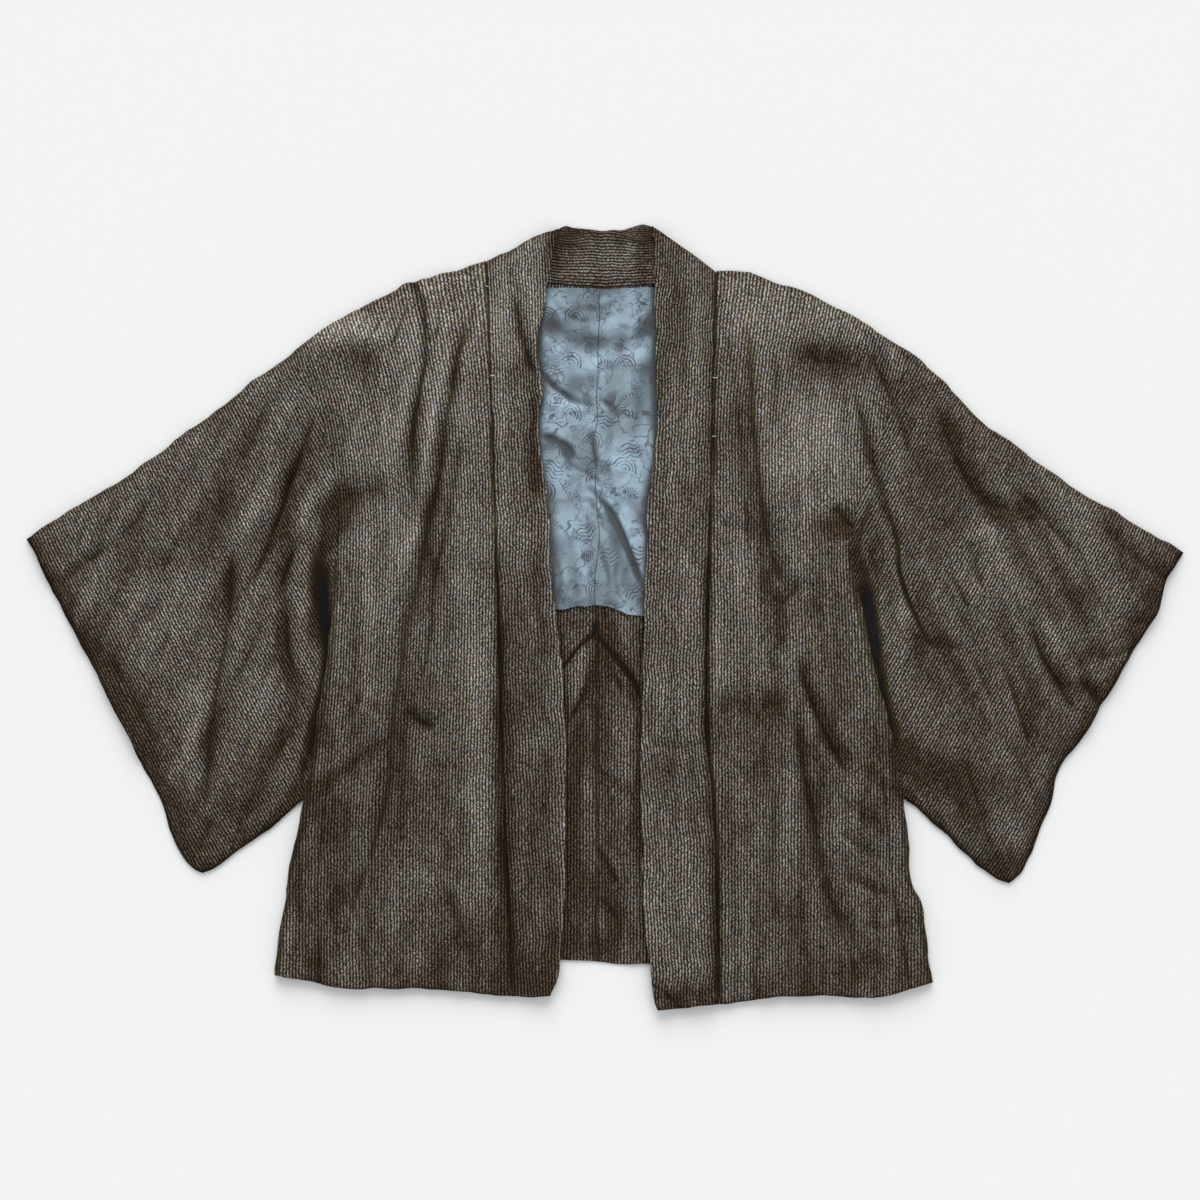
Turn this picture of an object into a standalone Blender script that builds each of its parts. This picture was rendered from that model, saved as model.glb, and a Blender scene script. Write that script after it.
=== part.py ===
"""Haori jacket laid flat, front side up.

Short unisex haori: two body lengths that run in one piece from the back hem over the
shoulder to the front hem, two sleeves folded along their top edge, two side gussets, one
collar strip that runs round the neck, and a two-piece lining over the upper back.

Frame: X across the jacket, Y from the hem to the collar, Z up, origin under the middle of
the jacket on the surface that it lies on. "left" is the -X side and "right" the +X side, as
seen from above with the hem towards the viewer. Sizes are in millimetres until the meshes
are made.
"""
import math
from collections import namedtuple

import bpy
from mathutils import Vector

MM = 0.001

# Cloth walls and the room between layers
SHELL = 1.2             # crepe cloth with its turned edges
LINING = 1.0
COLLAR = 2.6            # collar strip, folded double
SEAM_GAP = 0.3          # between neighbouring pieces and between touching layers
HALF_GAP = SEAM_GAP / 2
FRONT_BASE = COLLAR + SEAM_GAP              # underside of the front layer above the ground
SEWN_BASE = SHELL + SEAM_GAP                # the same along a sleeve's sewn edges
TUCK_LIFT = SEWN_BASE + SHELL + SEAM_GAP    # body raised where a sleeve runs under it

# Grid of each piece
ROWS_SIDE = 14          # hem to armpit
ROWS_ARMHOLE = 9        # armpit to shoulder
ROWS_SLEEVE_FREE = 7    # hidden sleeve corner to armpit
COLUMNS_BODY = 12
COLUMNS_SLEEVE = 14
COLUMNS_COLLAR = 3
COLUMNS_LINING = 4
ROWS_LINING = 8
FOLD_STEPS = 2          # extra stations round a folded edge
NECK_ROWS = 3           # of the armhole rows, those that end on the neckline
NECK_COLUMNS = 6        # back neck, from one shoulder to the other
CURVE_STEPS = 16        # straight pieces per table row when a curve is measured
FOLD_END = 0.06         # share of a fold's length where it keeps the height of its end
CUFF_OPEN_FROM = 0.36   # share of the cuff, from its rounded corner, that is sewn
SEWN_WIDTH = 0.09       # share of the sleeve that slopes down to a sewn edge

ORIGIN = Vector((0.0, 2.5))     # middle of the jacket, in the frame of the tables below
CENTRE_SEAM_X = -8.0
NECKLINE_Y = 333.0
COLLAR_SPLIT_Y = 75.0   # collar row level with the armpit
BACK_SPLIT_Y = 90.0     # centre back row level with the armpit
GUSSET_TIP = 0.5        # how far the gusset runs into the last row below the armpit

# Every outline row holds a point of the left half and its fellow on the right half.
Both = namedtuple("Both", "left_x left_y right_x right_y")

SHOULDER = (            # folded edge, from the neck to the sleeve
    Both(-117.5, 357.0, 111.5, 347.0),
    Both(-144.5, 345.0, 130.5, 346.5),
    Both(-179.5, 335.5, 155.5, 336.0),
    Both(-196.0, 333.5, 175.5, 329.0),
    Both(-208.0, 322.0, 210.5, 320.0),
    Both(-244.5, 306.0, 235.5, 306.0),
    Both(-284.5, 284.0, 275.5, 283.0),
    Both(-315.0, 262.0, 304.5, 265.0),
)
ARMHOLE = (             # armpit to shoulder
    Both(-268.0, 60.0, 245.5, 59.0),
    Both(-266.0, 94.0, 247.5, 89.0),
    Both(-267.0, 129.0, 257.5, 129.0),
    Both(-272.0, 164.0, 269.5, 169.0),
    Both(-282.0, 199.0, 283.5, 204.0),
    Both(-295.0, 234.0, 296.5, 239.0),
    Both(-315.0, 262.0, 304.5, 265.0),
)
SIDE_FOLD = (           # gusset's folded edge, hem corner to armpit
    Both(-326.5, -357.0, 324.5, -364.0),
    Both(-322.5, -326.0, 318.5, -326.0),
    Both(-315.0, -283.0, 312.5, -286.0),
    Both(-311.0, -250.0, 301.5, -259.0),
    Both(-300.0, -208.0, 299.0, -221.0),
    Both(-295.0, -178.0, 293.5, -176.0),
    Both(-283.5, -111.0, 280.5, -111.0),
    Both(-275.5, -65.0, 271.5, -71.0),
    Both(-270.0, -20.0, 263.5, -21.0),
    Both(-267.5, 30.0, 250.5, 19.0),
    Both(-268.0, 60.0, 245.5, 59.0),
)
GUSSET_SEAM = (         # gusset sewn to the body, hem to armpit
    Both(-284.5, -363.5, 305.0, -369.0),
    Both(-285.5, -310.0, 301.0, -338.0),
    Both(-286.5, -270.0, 293.5, -305.0),
    Both(-284.0, -230.0, 287.5, -261.0),
    Both(-278.0, -180.0, 279.5, -178.0),
    Both(-267.0, -100.0, 270.0, -110.0),
    Both(-262.0, -40.0, 255.0, -30.0),
    Both(-262.0, 20.0, 244.5, 18.0),
    Both(-268.0, 60.0, 245.5, 59.0),
)
FRONT_HEM = (           # collar seam to gusset seam
    Both(-93.0, -378.0, 114.5, -384.0),
    Both(-145.0, -371.0, 145.5, -379.0),
    Both(-185.0, -367.5, 175.5, -375.0),
    Both(-225.0, -366.0, 210.5, -372.0),
    Both(-265.0, -366.0, 270.0, -376.0),
    Both(-284.5, -363.5, 305.0, -369.0),
)
BACK_HEM = (            # centre seam to gusset seam
    Both(CENTRE_SEAM_X, -343.0, CENTRE_SEAM_X, -343.0),
    Both(-100.0, -342.0, 100.0, -349.0),
    Both(-200.0, -353.0, 200.0, -359.0),
    Both(-284.5, -363.5, 305.0, -369.0),
)
SLEEVE_TOP = (          # folded edge, shoulder to cuff corner
    Both(-315.0, 262.0, 304.5, 265.0),
    Both(-340.0, 243.0, 330.0, 244.0),
    Both(-384.5, 209.0, 358.0, 214.0),
    Both(-424.5, 178.0, 398.0, 178.0),
    Both(-484.5, 135.0, 455.5, 136.0),
    Both(-524.5, 111.0, 515.5, 100.0),
    Both(-576.5, 79.0, 576.5, 65.0),
)
CUFF = (                # rounded lower corner to cuff corner
    Both(-401.5, -255.0, 404.5, -265.0),
    Both(-417.0, -246.0, 417.0, -254.0),
    Both(-430.5, -223.0, 430.0, -225.0),
    Both(-444.5, -181.0, 449.0, -178.0),
    Both(-479.5, -111.0, 456.0, -150.0),
    Both(-503.5, -62.0, 485.5, -106.0),
    Both(-524.5, -22.0, 525.5, -33.0),
    Both(-544.5, 16.0, 549.0, 6.0),
    Both(-563.5, 54.0, 560.5, 37.0),
    Both(-576.5, 79.0, 576.5, 65.0),
)
SLEEVE_BOTTOM = (       # hidden corner under the body to rounded corner
    Both(-235.0, -132.0, 237.0, -130.0),
    Both(-295.5, -177.0, 293.5, -174.0),
    Both(-324.5, -201.0, 335.5, -209.0),
    Both(-364.5, -231.0, 375.5, -248.0),
    Both(-387.0, -248.0, 391.0, -260.0),
    Both(-401.5, -255.0, 404.5, -265.0),
)
SLEEVE_FREE = (         # open inner edge under the body, hidden corner to armpit
    Both(-235.0, -132.0, 237.0, -130.0),
    Both(-254.0, -15.0, 240.0, -15.0),
    Both(-261.0, 36.0, 241.0, 36.0),
    Both(-268.0, 60.0, 245.5, 59.0),
)
COLLAR_SEAM = (         # front collar seam, hem to neck
    Both(-93.0, -378.0, 114.5, -384.0),
    Both(-97.0, -251.0, 112.0, -251.0),
    Both(-100.0, -181.0, 108.5, -181.0),
    Both(-103.5, -81.0, 101.5, -91.0),
    Both(-107.5, 59.0, 104.5, 59.0),
    Both(-112.0, 189.0, 107.0, 189.0),
    Both(-117.5, 357.0, 111.5, 347.0),
)
COLLAR_EDGE = (         # free folded edge of the collar, hem to neck
    Both(-53.5, -376.0, 52.5, -391.0),
    Both(-43.0, -331.0, 43.5, -331.0),
    Both(-40.5, -241.0, 38.0, -241.0),
    Both(-38.5, -121.0, 36.5, -161.0),
    Both(-44.5, -31.0, 39.0, -31.0),
    Both(-52.5, 59.0, 42.5, 59.0),
    Both(-63.0, 149.0, 48.0, 149.0),
    Both(-65.5, 239.0, 51.0, 239.0),
    Both(-59.5, 319.0, 50.0, 319.0),
    Both(-44.5, 393.0, 47.5, 394.0),
)
NECKLINE = (            # collar sewn to the back, centre to shoulder
    Both(CENTRE_SEAM_X, NECKLINE_Y, CENTRE_SEAM_X, NECKLINE_Y),
    Both(-57.0, 336.5, 48.0, 334.0),
    Both(-117.5, 357.0, 111.5, 347.0),
)
NECK_TOP = (            # collar's free edge behind the neck, centre to shoulder
    Both(CENTRE_SEAM_X, 388.0, CENTRE_SEAM_X, 388.0),
    Both(-27.0, 388.5, 25.0, 388.5),
    Both(-44.5, 393.0, 47.5, 394.0),
)
LINING_BOTTOM = (       # centre seam to the hidden side edge
    Both(CENTRE_SEAM_X, 12.0, CENTRE_SEAM_X, 12.0),
    Both(-45.0, 8.0, 40.0, 2.0),
    Both(-96.0, 6.0, 92.0, -2.0),
)
LINING_TOP = (
    Both(CENTRE_SEAM_X, 331.5, CENTRE_SEAM_X, 331.5),
    Both(-45.0, 331.5, 40.0, 331.0),
    Both(-90.0, 331.5, 88.0, 331.0),
)

# The raised stretches and troughs of the front layer, each along a curve through three
# points: half its width, and how far it lifts the cloth (a trough is negative).
Fold = namedtuple("Fold", "x0 y0 x1 y1 x2 y2 half_width rise")

FOLDS = (
    # broad soft lofts of the two fronts and the sleeves
    Fold(-175, 300, -180, 20, -200, -345, 92, 6.0),
    Fold(180, 290, 185, 20, 200, -345, 88, 6.0),
    Fold(-300, 215, -400, 60, -405, -200, 100, 5.5),
    Fold(-290, 190, -350, 100, -480, 60, 70, 3.0),
    Fold(290, 215, 390, 60, 400, -205, 100, 5.5),
    Fold(285, 190, 350, 100, 480, 55, 70, 3.0),
    # left front: two long troughs beside the collar, and the pull towards the armpit
    Fold(-146, 289, -172, 60, -246, -300, 15, -5.0),
    Fold(-198, 335, -182, 250, -195, 125, 13, -4.0),
    Fold(-205, 125, -262, 100, -282, -70, 16, -5.0),
    Fold(-215, 280, -228, 40, -285, -345, 22, 2.5),
    # right front
    Fold(146, 279, 148, 120, 190, 20, 15, -5.0),
    Fold(190, -80, 205, -200, 262, -362, 16, -5.0),
    Fold(225, 100, 262, 0, 288, -150, 16, -5.0),
    Fold(215, 225, 190, 150, 230, 60, 35, 3.0),
    # left sleeve
    Fold(-305, 180, -322, 120, -352, 55, 14, -4.0),
    Fold(-306, 80, -318, 45, -330, 18, 12, -3.5),
    Fold(-370, 50, -388, -60, -400, -210, 16, -4.0),
    # right sleeve
    Fold(340, 190, 362, 130, 382, 116, 15, -4.0),
    Fold(245, 235, 270, 160, 320, -20, 14, -5.0),
    Fold(432, -20, 448, -60, 472, -82, 14, -4.0),
)

# Where a sleeve's hidden corner runs under the body: full lift between the inner pair of
# each list, none outside the outer pair.
TUCK_X = (195.0, 225.0, 305.0, 338.0)
TUCK_Y = (-255.0, -215.0, 62.0, 98.0)

Cloth = namedtuple("Cloth", "colour roughness")
CREPE = Cloth((0.095, 0.078, 0.064), 0.85)
LINING_SILK = Cloth((0.30, 0.38, 0.46), 0.55)


# ---------------------------------------------------------------- curves and grids

def half(table, side):
    """One half's points of an outline table."""
    if side == "left":
        return [Vector((row.left_x, row.left_y)) for row in table]
    return [Vector((row.right_x, row.right_y)) for row in table]


def smooth_point(points, index, fraction):
    """A point of the Catmull-Rom curve through the points, after points[index]."""
    last = len(points) - 1
    before = points[max(index - 1, 0)]
    start, end = points[index], points[index + 1]
    after = points[min(index + 2, last)]
    slope_start = (end - before) / 2
    slope_end = (after - start) / 2
    square, cube = fraction ** 2, fraction ** 3
    return (start * (2 * cube - 3 * square + 1) + slope_start * (cube - 2 * square + fraction)
            + end * (3 * square - 2 * cube) + slope_end * (cube - square))


def along(points, steps):
    """The smooth curve through the points, cut into equal lengths."""
    fine = [smooth_point(points, index, step / CURVE_STEPS)
            for index in range(len(points) - 1) for step in range(CURVE_STEPS)]
    fine.append(points[-1])
    lengths = [0.0]
    for start, end in zip(fine, fine[1:]):
        lengths.append(lengths[-1] + (end - start).length)
    result = [fine[0]]
    place = 0
    for step in range(1, steps):
        wanted = lengths[-1] * step / steps
        while lengths[place + 1] < wanted:
            place += 1
        share = (wanted - lengths[place]) / (lengths[place + 1] - lengths[place])
        result.append(fine[place].lerp(fine[place + 1], share))
    result.append(fine[-1])
    return result


def below_and_above(points, split_y, steps_below, steps_above):
    """A rising curve in two runs of equal steps that meet at the height split_y."""
    fine = along(points, CURVE_STEPS * (len(points) - 1))
    split = min(range(len(fine)), key=lambda index: abs(fine[index].y - split_y))
    return along(fine[:split + 1], steps_below) + along(fine[split:], steps_above)[1:]


def patch(bottom, top, inner, outer):
    """Grid of plan points between four edge curves: rows run from inner to outer."""
    rows = []
    for j, (left, right) in enumerate(zip(inner, outer)):
        up = j / (len(inner) - 1)
        row = []
        for i, (low, high) in enumerate(zip(bottom, top)):
            over = i / (len(bottom) - 1)
            ruled = low * (1 - up) + high * up + left * (1 - over) + right * over
            corners = ((bottom[0] * (1 - over) + bottom[-1] * over) * (1 - up)
                       + (top[0] * (1 - over) + top[-1] * over) * up)
            row.append(ruled - corners)
        rows.append(row)
    return rows


def pulled_in(row, first=0.0, last=0.0):
    """The row with its end points drawn in, which leaves the gap of a seam."""
    moved = list(row)
    if first:
        moved[0] = row[0] + (row[1] - row[0]).normalized() * first
    if last:
        moved[-1] = row[-1] + (row[-2] - row[-1]).normalized() * last
    return moved


def outward(row, before, after):
    """Unit vectors that point away from the cloth along its folded upper edge."""
    reach = [before] + list(row) + [after]
    result = []
    for start, end in zip(reach, reach[2:]):
        run = (end - start).normalized()
        normal = Vector((-run.y, run.x))
        result.append(normal if normal.y > 0 else -normal)
    return result


# ---------------------------------------------------------------- heights

def ramp(value, start, end):
    """Smooth rise from 0 at start to 1 at end."""
    share = min(max((value - start) / (end - start), 0.0), 1.0)
    return share * share * (3 - 2 * share)


def fold_line(fold):
    """Points along a fold, and its share of the way at each."""
    ends = Vector((fold.x0, fold.y0)), Vector((fold.x1, fold.y1)), Vector((fold.x2, fold.y2))
    line = []
    for step in range(CURVE_STEPS + 1):
        share = step / CURVE_STEPS
        piece = min(int(share * 2), 1)      # first or second half of the fold
        line.append((smooth_point(ends, piece, share * 2 - piece), share))
    return line


FOLD_LINES = [(fold, fold_line(fold)) for fold in FOLDS]


def folds(x, y):
    """How far the folds and the soft loft raise the front layer at a plan point."""
    place = Vector((x, y))
    total = 0.0
    for fold, line in FOLD_LINES:
        distance, share = min(((place - point).length, share) for point, share in line)
        if distance < fold.half_width:
            across = math.cos(math.pi / 2 * distance / fold.half_width) ** 2
            inside = min(max(share, FOLD_END), 1 - FOLD_END)
            total += fold.rise * across * math.sin(math.pi * inside) ** 0.5
    return max(total, 0.0)


def tucked(x, y):
    """1 over a sleeve's hidden corner and 0 away from it."""
    reach = abs(x)
    return (ramp(reach, TUCK_X[0], TUCK_X[1]) * ramp(-reach, -TUCK_X[3], -TUCK_X[2])
            * ramp(y, TUCK_Y[0], TUCK_Y[1]) * ramp(-y, -TUCK_Y[3], -TUCK_Y[2]))


def body_back_z(x, y):
    """Underside of the back layer of the body and gussets."""
    return TUCK_LIFT * tucked(x, y)


def body_front_z(x, y):
    """Underside of the front layer of the body, gussets and collar."""
    return FRONT_BASE + TUCK_LIFT * tucked(x, y) + folds(x, y)


def sleeve_front_z(x, y, sewn):
    """Underside of a sleeve's front layer; sewn is 1 along the sewn edges."""
    free = (1 - tucked(x, y)) * (1 - sewn)
    return SEWN_BASE + (FRONT_BASE - SEWN_BASE + folds(x, y)) * free


# ---------------------------------------------------------------- stations and meshes

def laid_back(row, heights, wall):
    """Outer and inner points of a row of a back layer, whose outer face is below."""
    return [((p.x, p.y, z), (p.x, p.y, z + wall)) for p, z in zip(row, heights)]


def laid_front(row, heights, wall):
    """Outer and inner points of a row of a front layer, whose outer face is above."""
    return [((p.x, p.y, z + wall), (p.x, p.y, z)) for p, z in zip(row, heights)]


def folded_edge(row, directions, low, high, wall):
    """Stations round the edge where a back layer turns into a front layer.

    low and high are the undersides of the two layers along the edge.
    """
    stations = []
    for step in range(1, FOLD_STEPS + 1):
        angle = math.pi * step / (FOLD_STEPS + 1)
        station = []
        for point, direction, z_back, z_front in zip(row, directions, low, high):
            radius = (z_front + wall - z_back) / 2
            middle = Vector((point.x, point.y, z_back + radius))
            ray = Vector((direction.x * math.sin(angle), direction.y * math.sin(angle), -math.cos(angle)))
            station.append((tuple(middle + ray * radius), tuple(middle + ray * (radius - wall))))
        stations.append(station)
    return stations


def cloth_material(name, cloth):
    material = bpy.data.materials.new(name)
    material.use_nodes = True
    shader = material.node_tree.nodes["Principled BSDF"]
    shader.inputs["Base Color"].default_value = (*cloth.colour, 1.0)
    shader.inputs["Roughness"].default_value = cloth.roughness
    return material


def sheet(name, stations, material):
    """Closed solid from stations of (outer, inner) points: two faces and four rims."""
    rows, columns = len(stations), len(stations[0])
    points = []
    for station in stations:
        for outer, inner in station:
            points += [outer, inner]

    def at(row, column, side):
        return 2 * (row * columns + column) + side

    faces = []
    for row in range(rows - 1):
        for column in range(columns - 1):
            corners = ((row, column), (row, column + 1), (row + 1, column + 1), (row + 1, column))
            faces.append([at(r, c, 0) for r, c in corners])
            faces.append([at(r, c, 1) for r, c in reversed(corners)])
        for column, turn in ((0, 1), (columns - 1, -1)):
            rim = [at(row, column, 0), at(row + 1, column, 0), at(row + 1, column, 1), at(row, column, 1)]
            faces.append(rim[::turn])
    for column in range(columns - 1):
        for row, turn in ((0, -1), (rows - 1, 1)):
            rim = [at(row, column, 0), at(row, column + 1, 0), at(row, column + 1, 1), at(row, column, 1)]
            faces.append(rim[::turn])

    places = [((x - ORIGIN.x) * MM, (y - ORIGIN.y) * MM, z * MM) for x, y, z in points]
    mesh = bpy.data.meshes.new(name)
    mesh.from_pydata(places, [], faces)
    flip_if_inside_out(mesh)
    mesh.shade_smooth()
    mesh.set_sharp_from_angle(angle=math.radians(50))
    mesh.materials.append(material)
    piece = bpy.data.objects.new(name, mesh)
    bpy.context.scene.collection.objects.link(piece)
    return piece


def flip_if_inside_out(mesh):
    """Turn all faces when the solid's signed volume is negative."""
    volume = 0.0
    for face in mesh.polygons:
        corners = [mesh.vertices[index].co for index in face.vertices]
        for second, third in zip(corners[1:], corners[2:]):
            volume += corners[0].dot(second.cross(third))
    if volume < 0:
        mesh.flip_normals()


# ---------------------------------------------------------------- pieces

def body_edges(side):
    """The curves that the body shares with its neighbours, hem to shoulder."""
    shoulder = along(half(SHOULDER, side), COLUMNS_BODY)
    armhole = along(half(ARMHOLE, side), ROWS_ARMHOLE)
    gusset = along(half(GUSSET_SEAM, side), ROWS_SIDE)
    collar = below_and_above(half(COLLAR_SEAM, side), COLLAR_SPLIT_Y, ROWS_SIDE, ROWS_ARMHOLE)
    return shoulder, armhole, gusset, collar


def neighbours(side):
    """The points just past the two ends of the shoulder fold."""
    neck_end = half(COLLAR_EDGE, side)[-1]
    sleeve_end = half(SLEEVE_TOP, side)[1]
    return neck_end, sleeve_end


def body(side, material):
    """One length of cloth: back hem, over the shoulder, front hem."""
    shoulder, armhole, gusset, collar = body_edges(side)
    outer = gusset + armhole[1:]
    hem_back = along(half(BACK_HEM, side), COLUMNS_BODY)
    hem_front = along(half(FRONT_HEM, side), COLUMNS_BODY)
    centre_top = Vector((CENTRE_SEAM_X, NECKLINE_Y))
    centre_middle = Vector((CENTRE_SEAM_X, BACK_SPLIT_Y))
    inner_back = (along([hem_back[0], centre_middle], ROWS_SIDE)
                  + along([centre_middle, centre_top], ROWS_ARMHOLE - NECK_ROWS)[1:]
                  + along(half(NECKLINE, side), NECK_ROWS)[1:])

    back = patch(hem_back, shoulder, inner_back, outer)
    front = patch(hem_front, shoulder, collar, outer)
    back = [pulled_in(row, HALF_GAP, HALF_GAP) for row in back]
    front = [pulled_in(row, HALF_GAP, HALF_GAP) for row in front]

    stations = [laid_back(row, [body_back_z(p.x, p.y) for p in row], SHELL) for row in back]
    edge = front[-1]
    low = [body_back_z(p.x, p.y) for p in edge]
    high = [body_front_z(p.x, p.y) for p in edge]
    stations += folded_edge(edge, outward(edge, *neighbours(side)), low, high, SHELL)
    stations += [laid_front(row, [body_front_z(p.x, p.y) for p in row], SHELL) for row in reversed(front)]
    return sheet("body_" + side, stations, material)


def gusset(side, material):
    """Narrow wedge folded along the side edge, from the hem up to the armpit."""
    seam = body_edges(side)[2]
    fold = along(half(SIDE_FOLD, side), ROWS_SIDE)
    rows = [[inner, outer] for inner, outer in zip(seam[:-1], fold[:-1])]
    tip = [below.lerp(armpit, GUSSET_TIP) for below, armpit in zip(rows[-1], (seam[-1], fold[-1]))]
    rows.append(tip)

    stations = []
    for row in rows:
        inner, outer = pulled_in(row, HALF_GAP)
        direction = (outer - inner).normalized()
        low = [body_back_z(p.x, p.y) for p in (inner, outer)]
        high = [body_front_z(p.x, p.y) for p in (inner, outer)]
        station = laid_back([inner, outer], low, SHELL)
        station += [s[0] for s in folded_edge([outer], [direction], low[1:], high[1:], SHELL)]
        station += reversed(laid_front([inner, outer], high, SHELL))
        stations.append(station)
    return sheet("gusset_" + side, stations, material)


def sleeve(side, material):
    """Square sleeve folded along its top, sewn below, open at the body and at the cuff."""
    top = along(half(SLEEVE_TOP, side), COLUMNS_SLEEVE)
    bottom = along(half(SLEEVE_BOTTOM, side), COLUMNS_SLEEVE)
    armhole = along(half(ARMHOLE, side), ROWS_ARMHOLE)
    free = along(half(SLEEVE_FREE, side), ROWS_SLEEVE_FREE)
    inner = free + armhole[1:]
    rows = len(inner) - 1
    grid = patch(bottom, top, inner, along(half(CUFF, side), rows))
    grid = [pulled_in(row, HALF_GAP) for row in grid]

    def front_heights(j):
        up = j / rows
        heights = []
        for i, point in enumerate(grid[j]):
            from_cuff = 1 - i / COLUMNS_SLEEVE
            sewn = 1 - ramp(up, 0.0, SEWN_WIDTH)
            if up < CUFF_OPEN_FROM:
                sewn = max(sewn, 1 - ramp(from_cuff, 0.0, SEWN_WIDTH))
            heights.append(sleeve_front_z(point.x, point.y, sewn))
        return heights

    ground = [0.0] * (COLUMNS_SLEEVE + 1)
    stations = [laid_back(row, ground, SHELL) for row in grid]
    past_shoulder = half(SHOULDER, side)[-2]
    past_cuff = grid[-1][-1] + (grid[-1][-1] - grid[-1][-2])
    directions = outward(grid[-1], past_shoulder, past_cuff)
    stations += folded_edge(grid[-1], directions, ground, front_heights(rows), SHELL)
    stations += [laid_front(grid[j], front_heights(j), SHELL) for j in range(rows, -1, -1)]
    return sheet("sleeve_" + side, stations, material)


def collar_front(side):
    """Rows of one front strip, hem to neck, each from the seam to the free edge."""
    seam = body_edges(side)[3]
    edge = along(half(COLLAR_EDGE, side), len(seam) - 1)
    rows = []
    for start, end in zip(seam, edge):
        row = [start.lerp(end, column / COLUMNS_COLLAR) for column in range(COLUMNS_COLLAR + 1)]
        rows.append(pulled_in(row, HALF_GAP))
    return rows


def collar_neck():
    """Rows of the strip behind the neck, left shoulder to right shoulder."""
    steps = NECK_COLUMNS // 2
    rows = []
    for side, order in (("left", -1), ("right", 1)):
        low = along(half(NECKLINE, side), steps)
        high = along(half(NECK_TOP, side), steps)
        part = []
        for start, end in zip(low, high):
            start = start + Vector((0.0, SEAM_GAP))
            part.append([start.lerp(end, column / COLUMNS_COLLAR) for column in range(COLUMNS_COLLAR + 1)])
        rows += part[::order] if order < 0 else part[1:]
    return rows


def collar(material):
    """One strip folded double: up the left front, round the neck, down the right front."""
    left, right, neck = collar_front("left"), collar_front("right"), collar_neck()
    neck[0], neck[-1] = left[-1], right[-1]
    flat = [0.0] * (COLUMNS_COLLAR + 1)

    def front(row):
        return laid_front(row, [body_front_z(p.x, p.y) for p in row], COLLAR)

    def turn(side, row):
        past_shoulder = half(SHOULDER, side)[1]
        past_neck = row[-1] + (row[-1] - row[-2])
        high = [body_front_z(p.x, p.y) for p in row]
        return folded_edge(row, outward(row, past_shoulder, past_neck), flat, high, COLLAR)

    stations = [front(row) for row in left]
    stations += reversed(turn("left", left[-1]))
    stations += [laid_back(row, flat, COLLAR) for row in neck]
    stations += turn("right", right[-1])
    stations += [front(row) for row in reversed(right)]
    return sheet("collar", stations, material)


def lining(side, material):
    """Lining of the upper back, inside the jacket, from the centre seam outwards."""
    bottom = along(half(LINING_BOTTOM, side), COLUMNS_LINING)
    top = along(half(LINING_TOP, side), COLUMNS_LINING)
    inner = along([bottom[0], top[0]], ROWS_LINING)
    outer = along([bottom[-1], top[-1]], ROWS_LINING)
    lying = [SHELL + SEAM_GAP] * (COLUMNS_LINING + 1)
    rows = [pulled_in(row, HALF_GAP) for row in patch(bottom, top, inner, outer)]
    return sheet("lining_" + side, [laid_front(row, lying, LINING) for row in rows], material)


def main():
    for old in list(bpy.data.objects):
        bpy.data.objects.remove(old, do_unlink=True)
    crepe = cloth_material("crepe", CREPE)
    silk = cloth_material("lining_silk", LINING_SILK)
    for side in ("left", "right"):
        body(side, crepe)
        gusset(side, crepe)
        sleeve(side, crepe)
        lining(side, silk)
    collar(crepe)


main()
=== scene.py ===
# %% [markdown]
# # A haori jacket, laid flat
# A haori is the short open jacket that goes over a kimono. Each half of its body is one
# narrow length of cloth that runs from the back hem over the shoulder to the front hem. It
# has square sleeves folded along the top, a thin wedge let in at each side, and one long
# collar strip. This one is a dark striped crepe with a blue-grey printed silk lining.
#
# The jacket comes packed as plain solids. This lesson builds a finer sheet of cloth on each
# solid's own form, presses creases into it, and weaves the crepe and prints the silk with
# shader nodes.
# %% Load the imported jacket
import math
from collections import namedtuple

import bpy
import numpy as np
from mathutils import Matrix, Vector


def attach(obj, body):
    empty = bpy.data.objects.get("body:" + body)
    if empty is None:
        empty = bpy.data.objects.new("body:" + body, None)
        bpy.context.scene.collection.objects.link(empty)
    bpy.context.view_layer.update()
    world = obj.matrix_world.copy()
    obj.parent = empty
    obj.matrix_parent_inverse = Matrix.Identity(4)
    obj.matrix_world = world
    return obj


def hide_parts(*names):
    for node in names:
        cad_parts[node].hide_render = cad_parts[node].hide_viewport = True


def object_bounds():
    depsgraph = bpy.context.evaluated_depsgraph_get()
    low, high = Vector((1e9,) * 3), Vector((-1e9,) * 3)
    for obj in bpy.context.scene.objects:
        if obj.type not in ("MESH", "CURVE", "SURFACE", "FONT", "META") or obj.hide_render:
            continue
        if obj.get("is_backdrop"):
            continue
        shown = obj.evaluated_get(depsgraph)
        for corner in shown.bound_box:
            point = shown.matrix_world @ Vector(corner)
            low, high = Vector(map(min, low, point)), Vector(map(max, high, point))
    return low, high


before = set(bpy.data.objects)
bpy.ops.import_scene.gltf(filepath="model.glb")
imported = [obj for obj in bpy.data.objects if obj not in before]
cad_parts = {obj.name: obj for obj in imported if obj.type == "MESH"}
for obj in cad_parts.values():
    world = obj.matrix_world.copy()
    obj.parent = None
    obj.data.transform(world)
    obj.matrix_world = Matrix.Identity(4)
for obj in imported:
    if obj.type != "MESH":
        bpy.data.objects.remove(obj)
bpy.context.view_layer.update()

print("packed nodes:", sorted(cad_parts))

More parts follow.
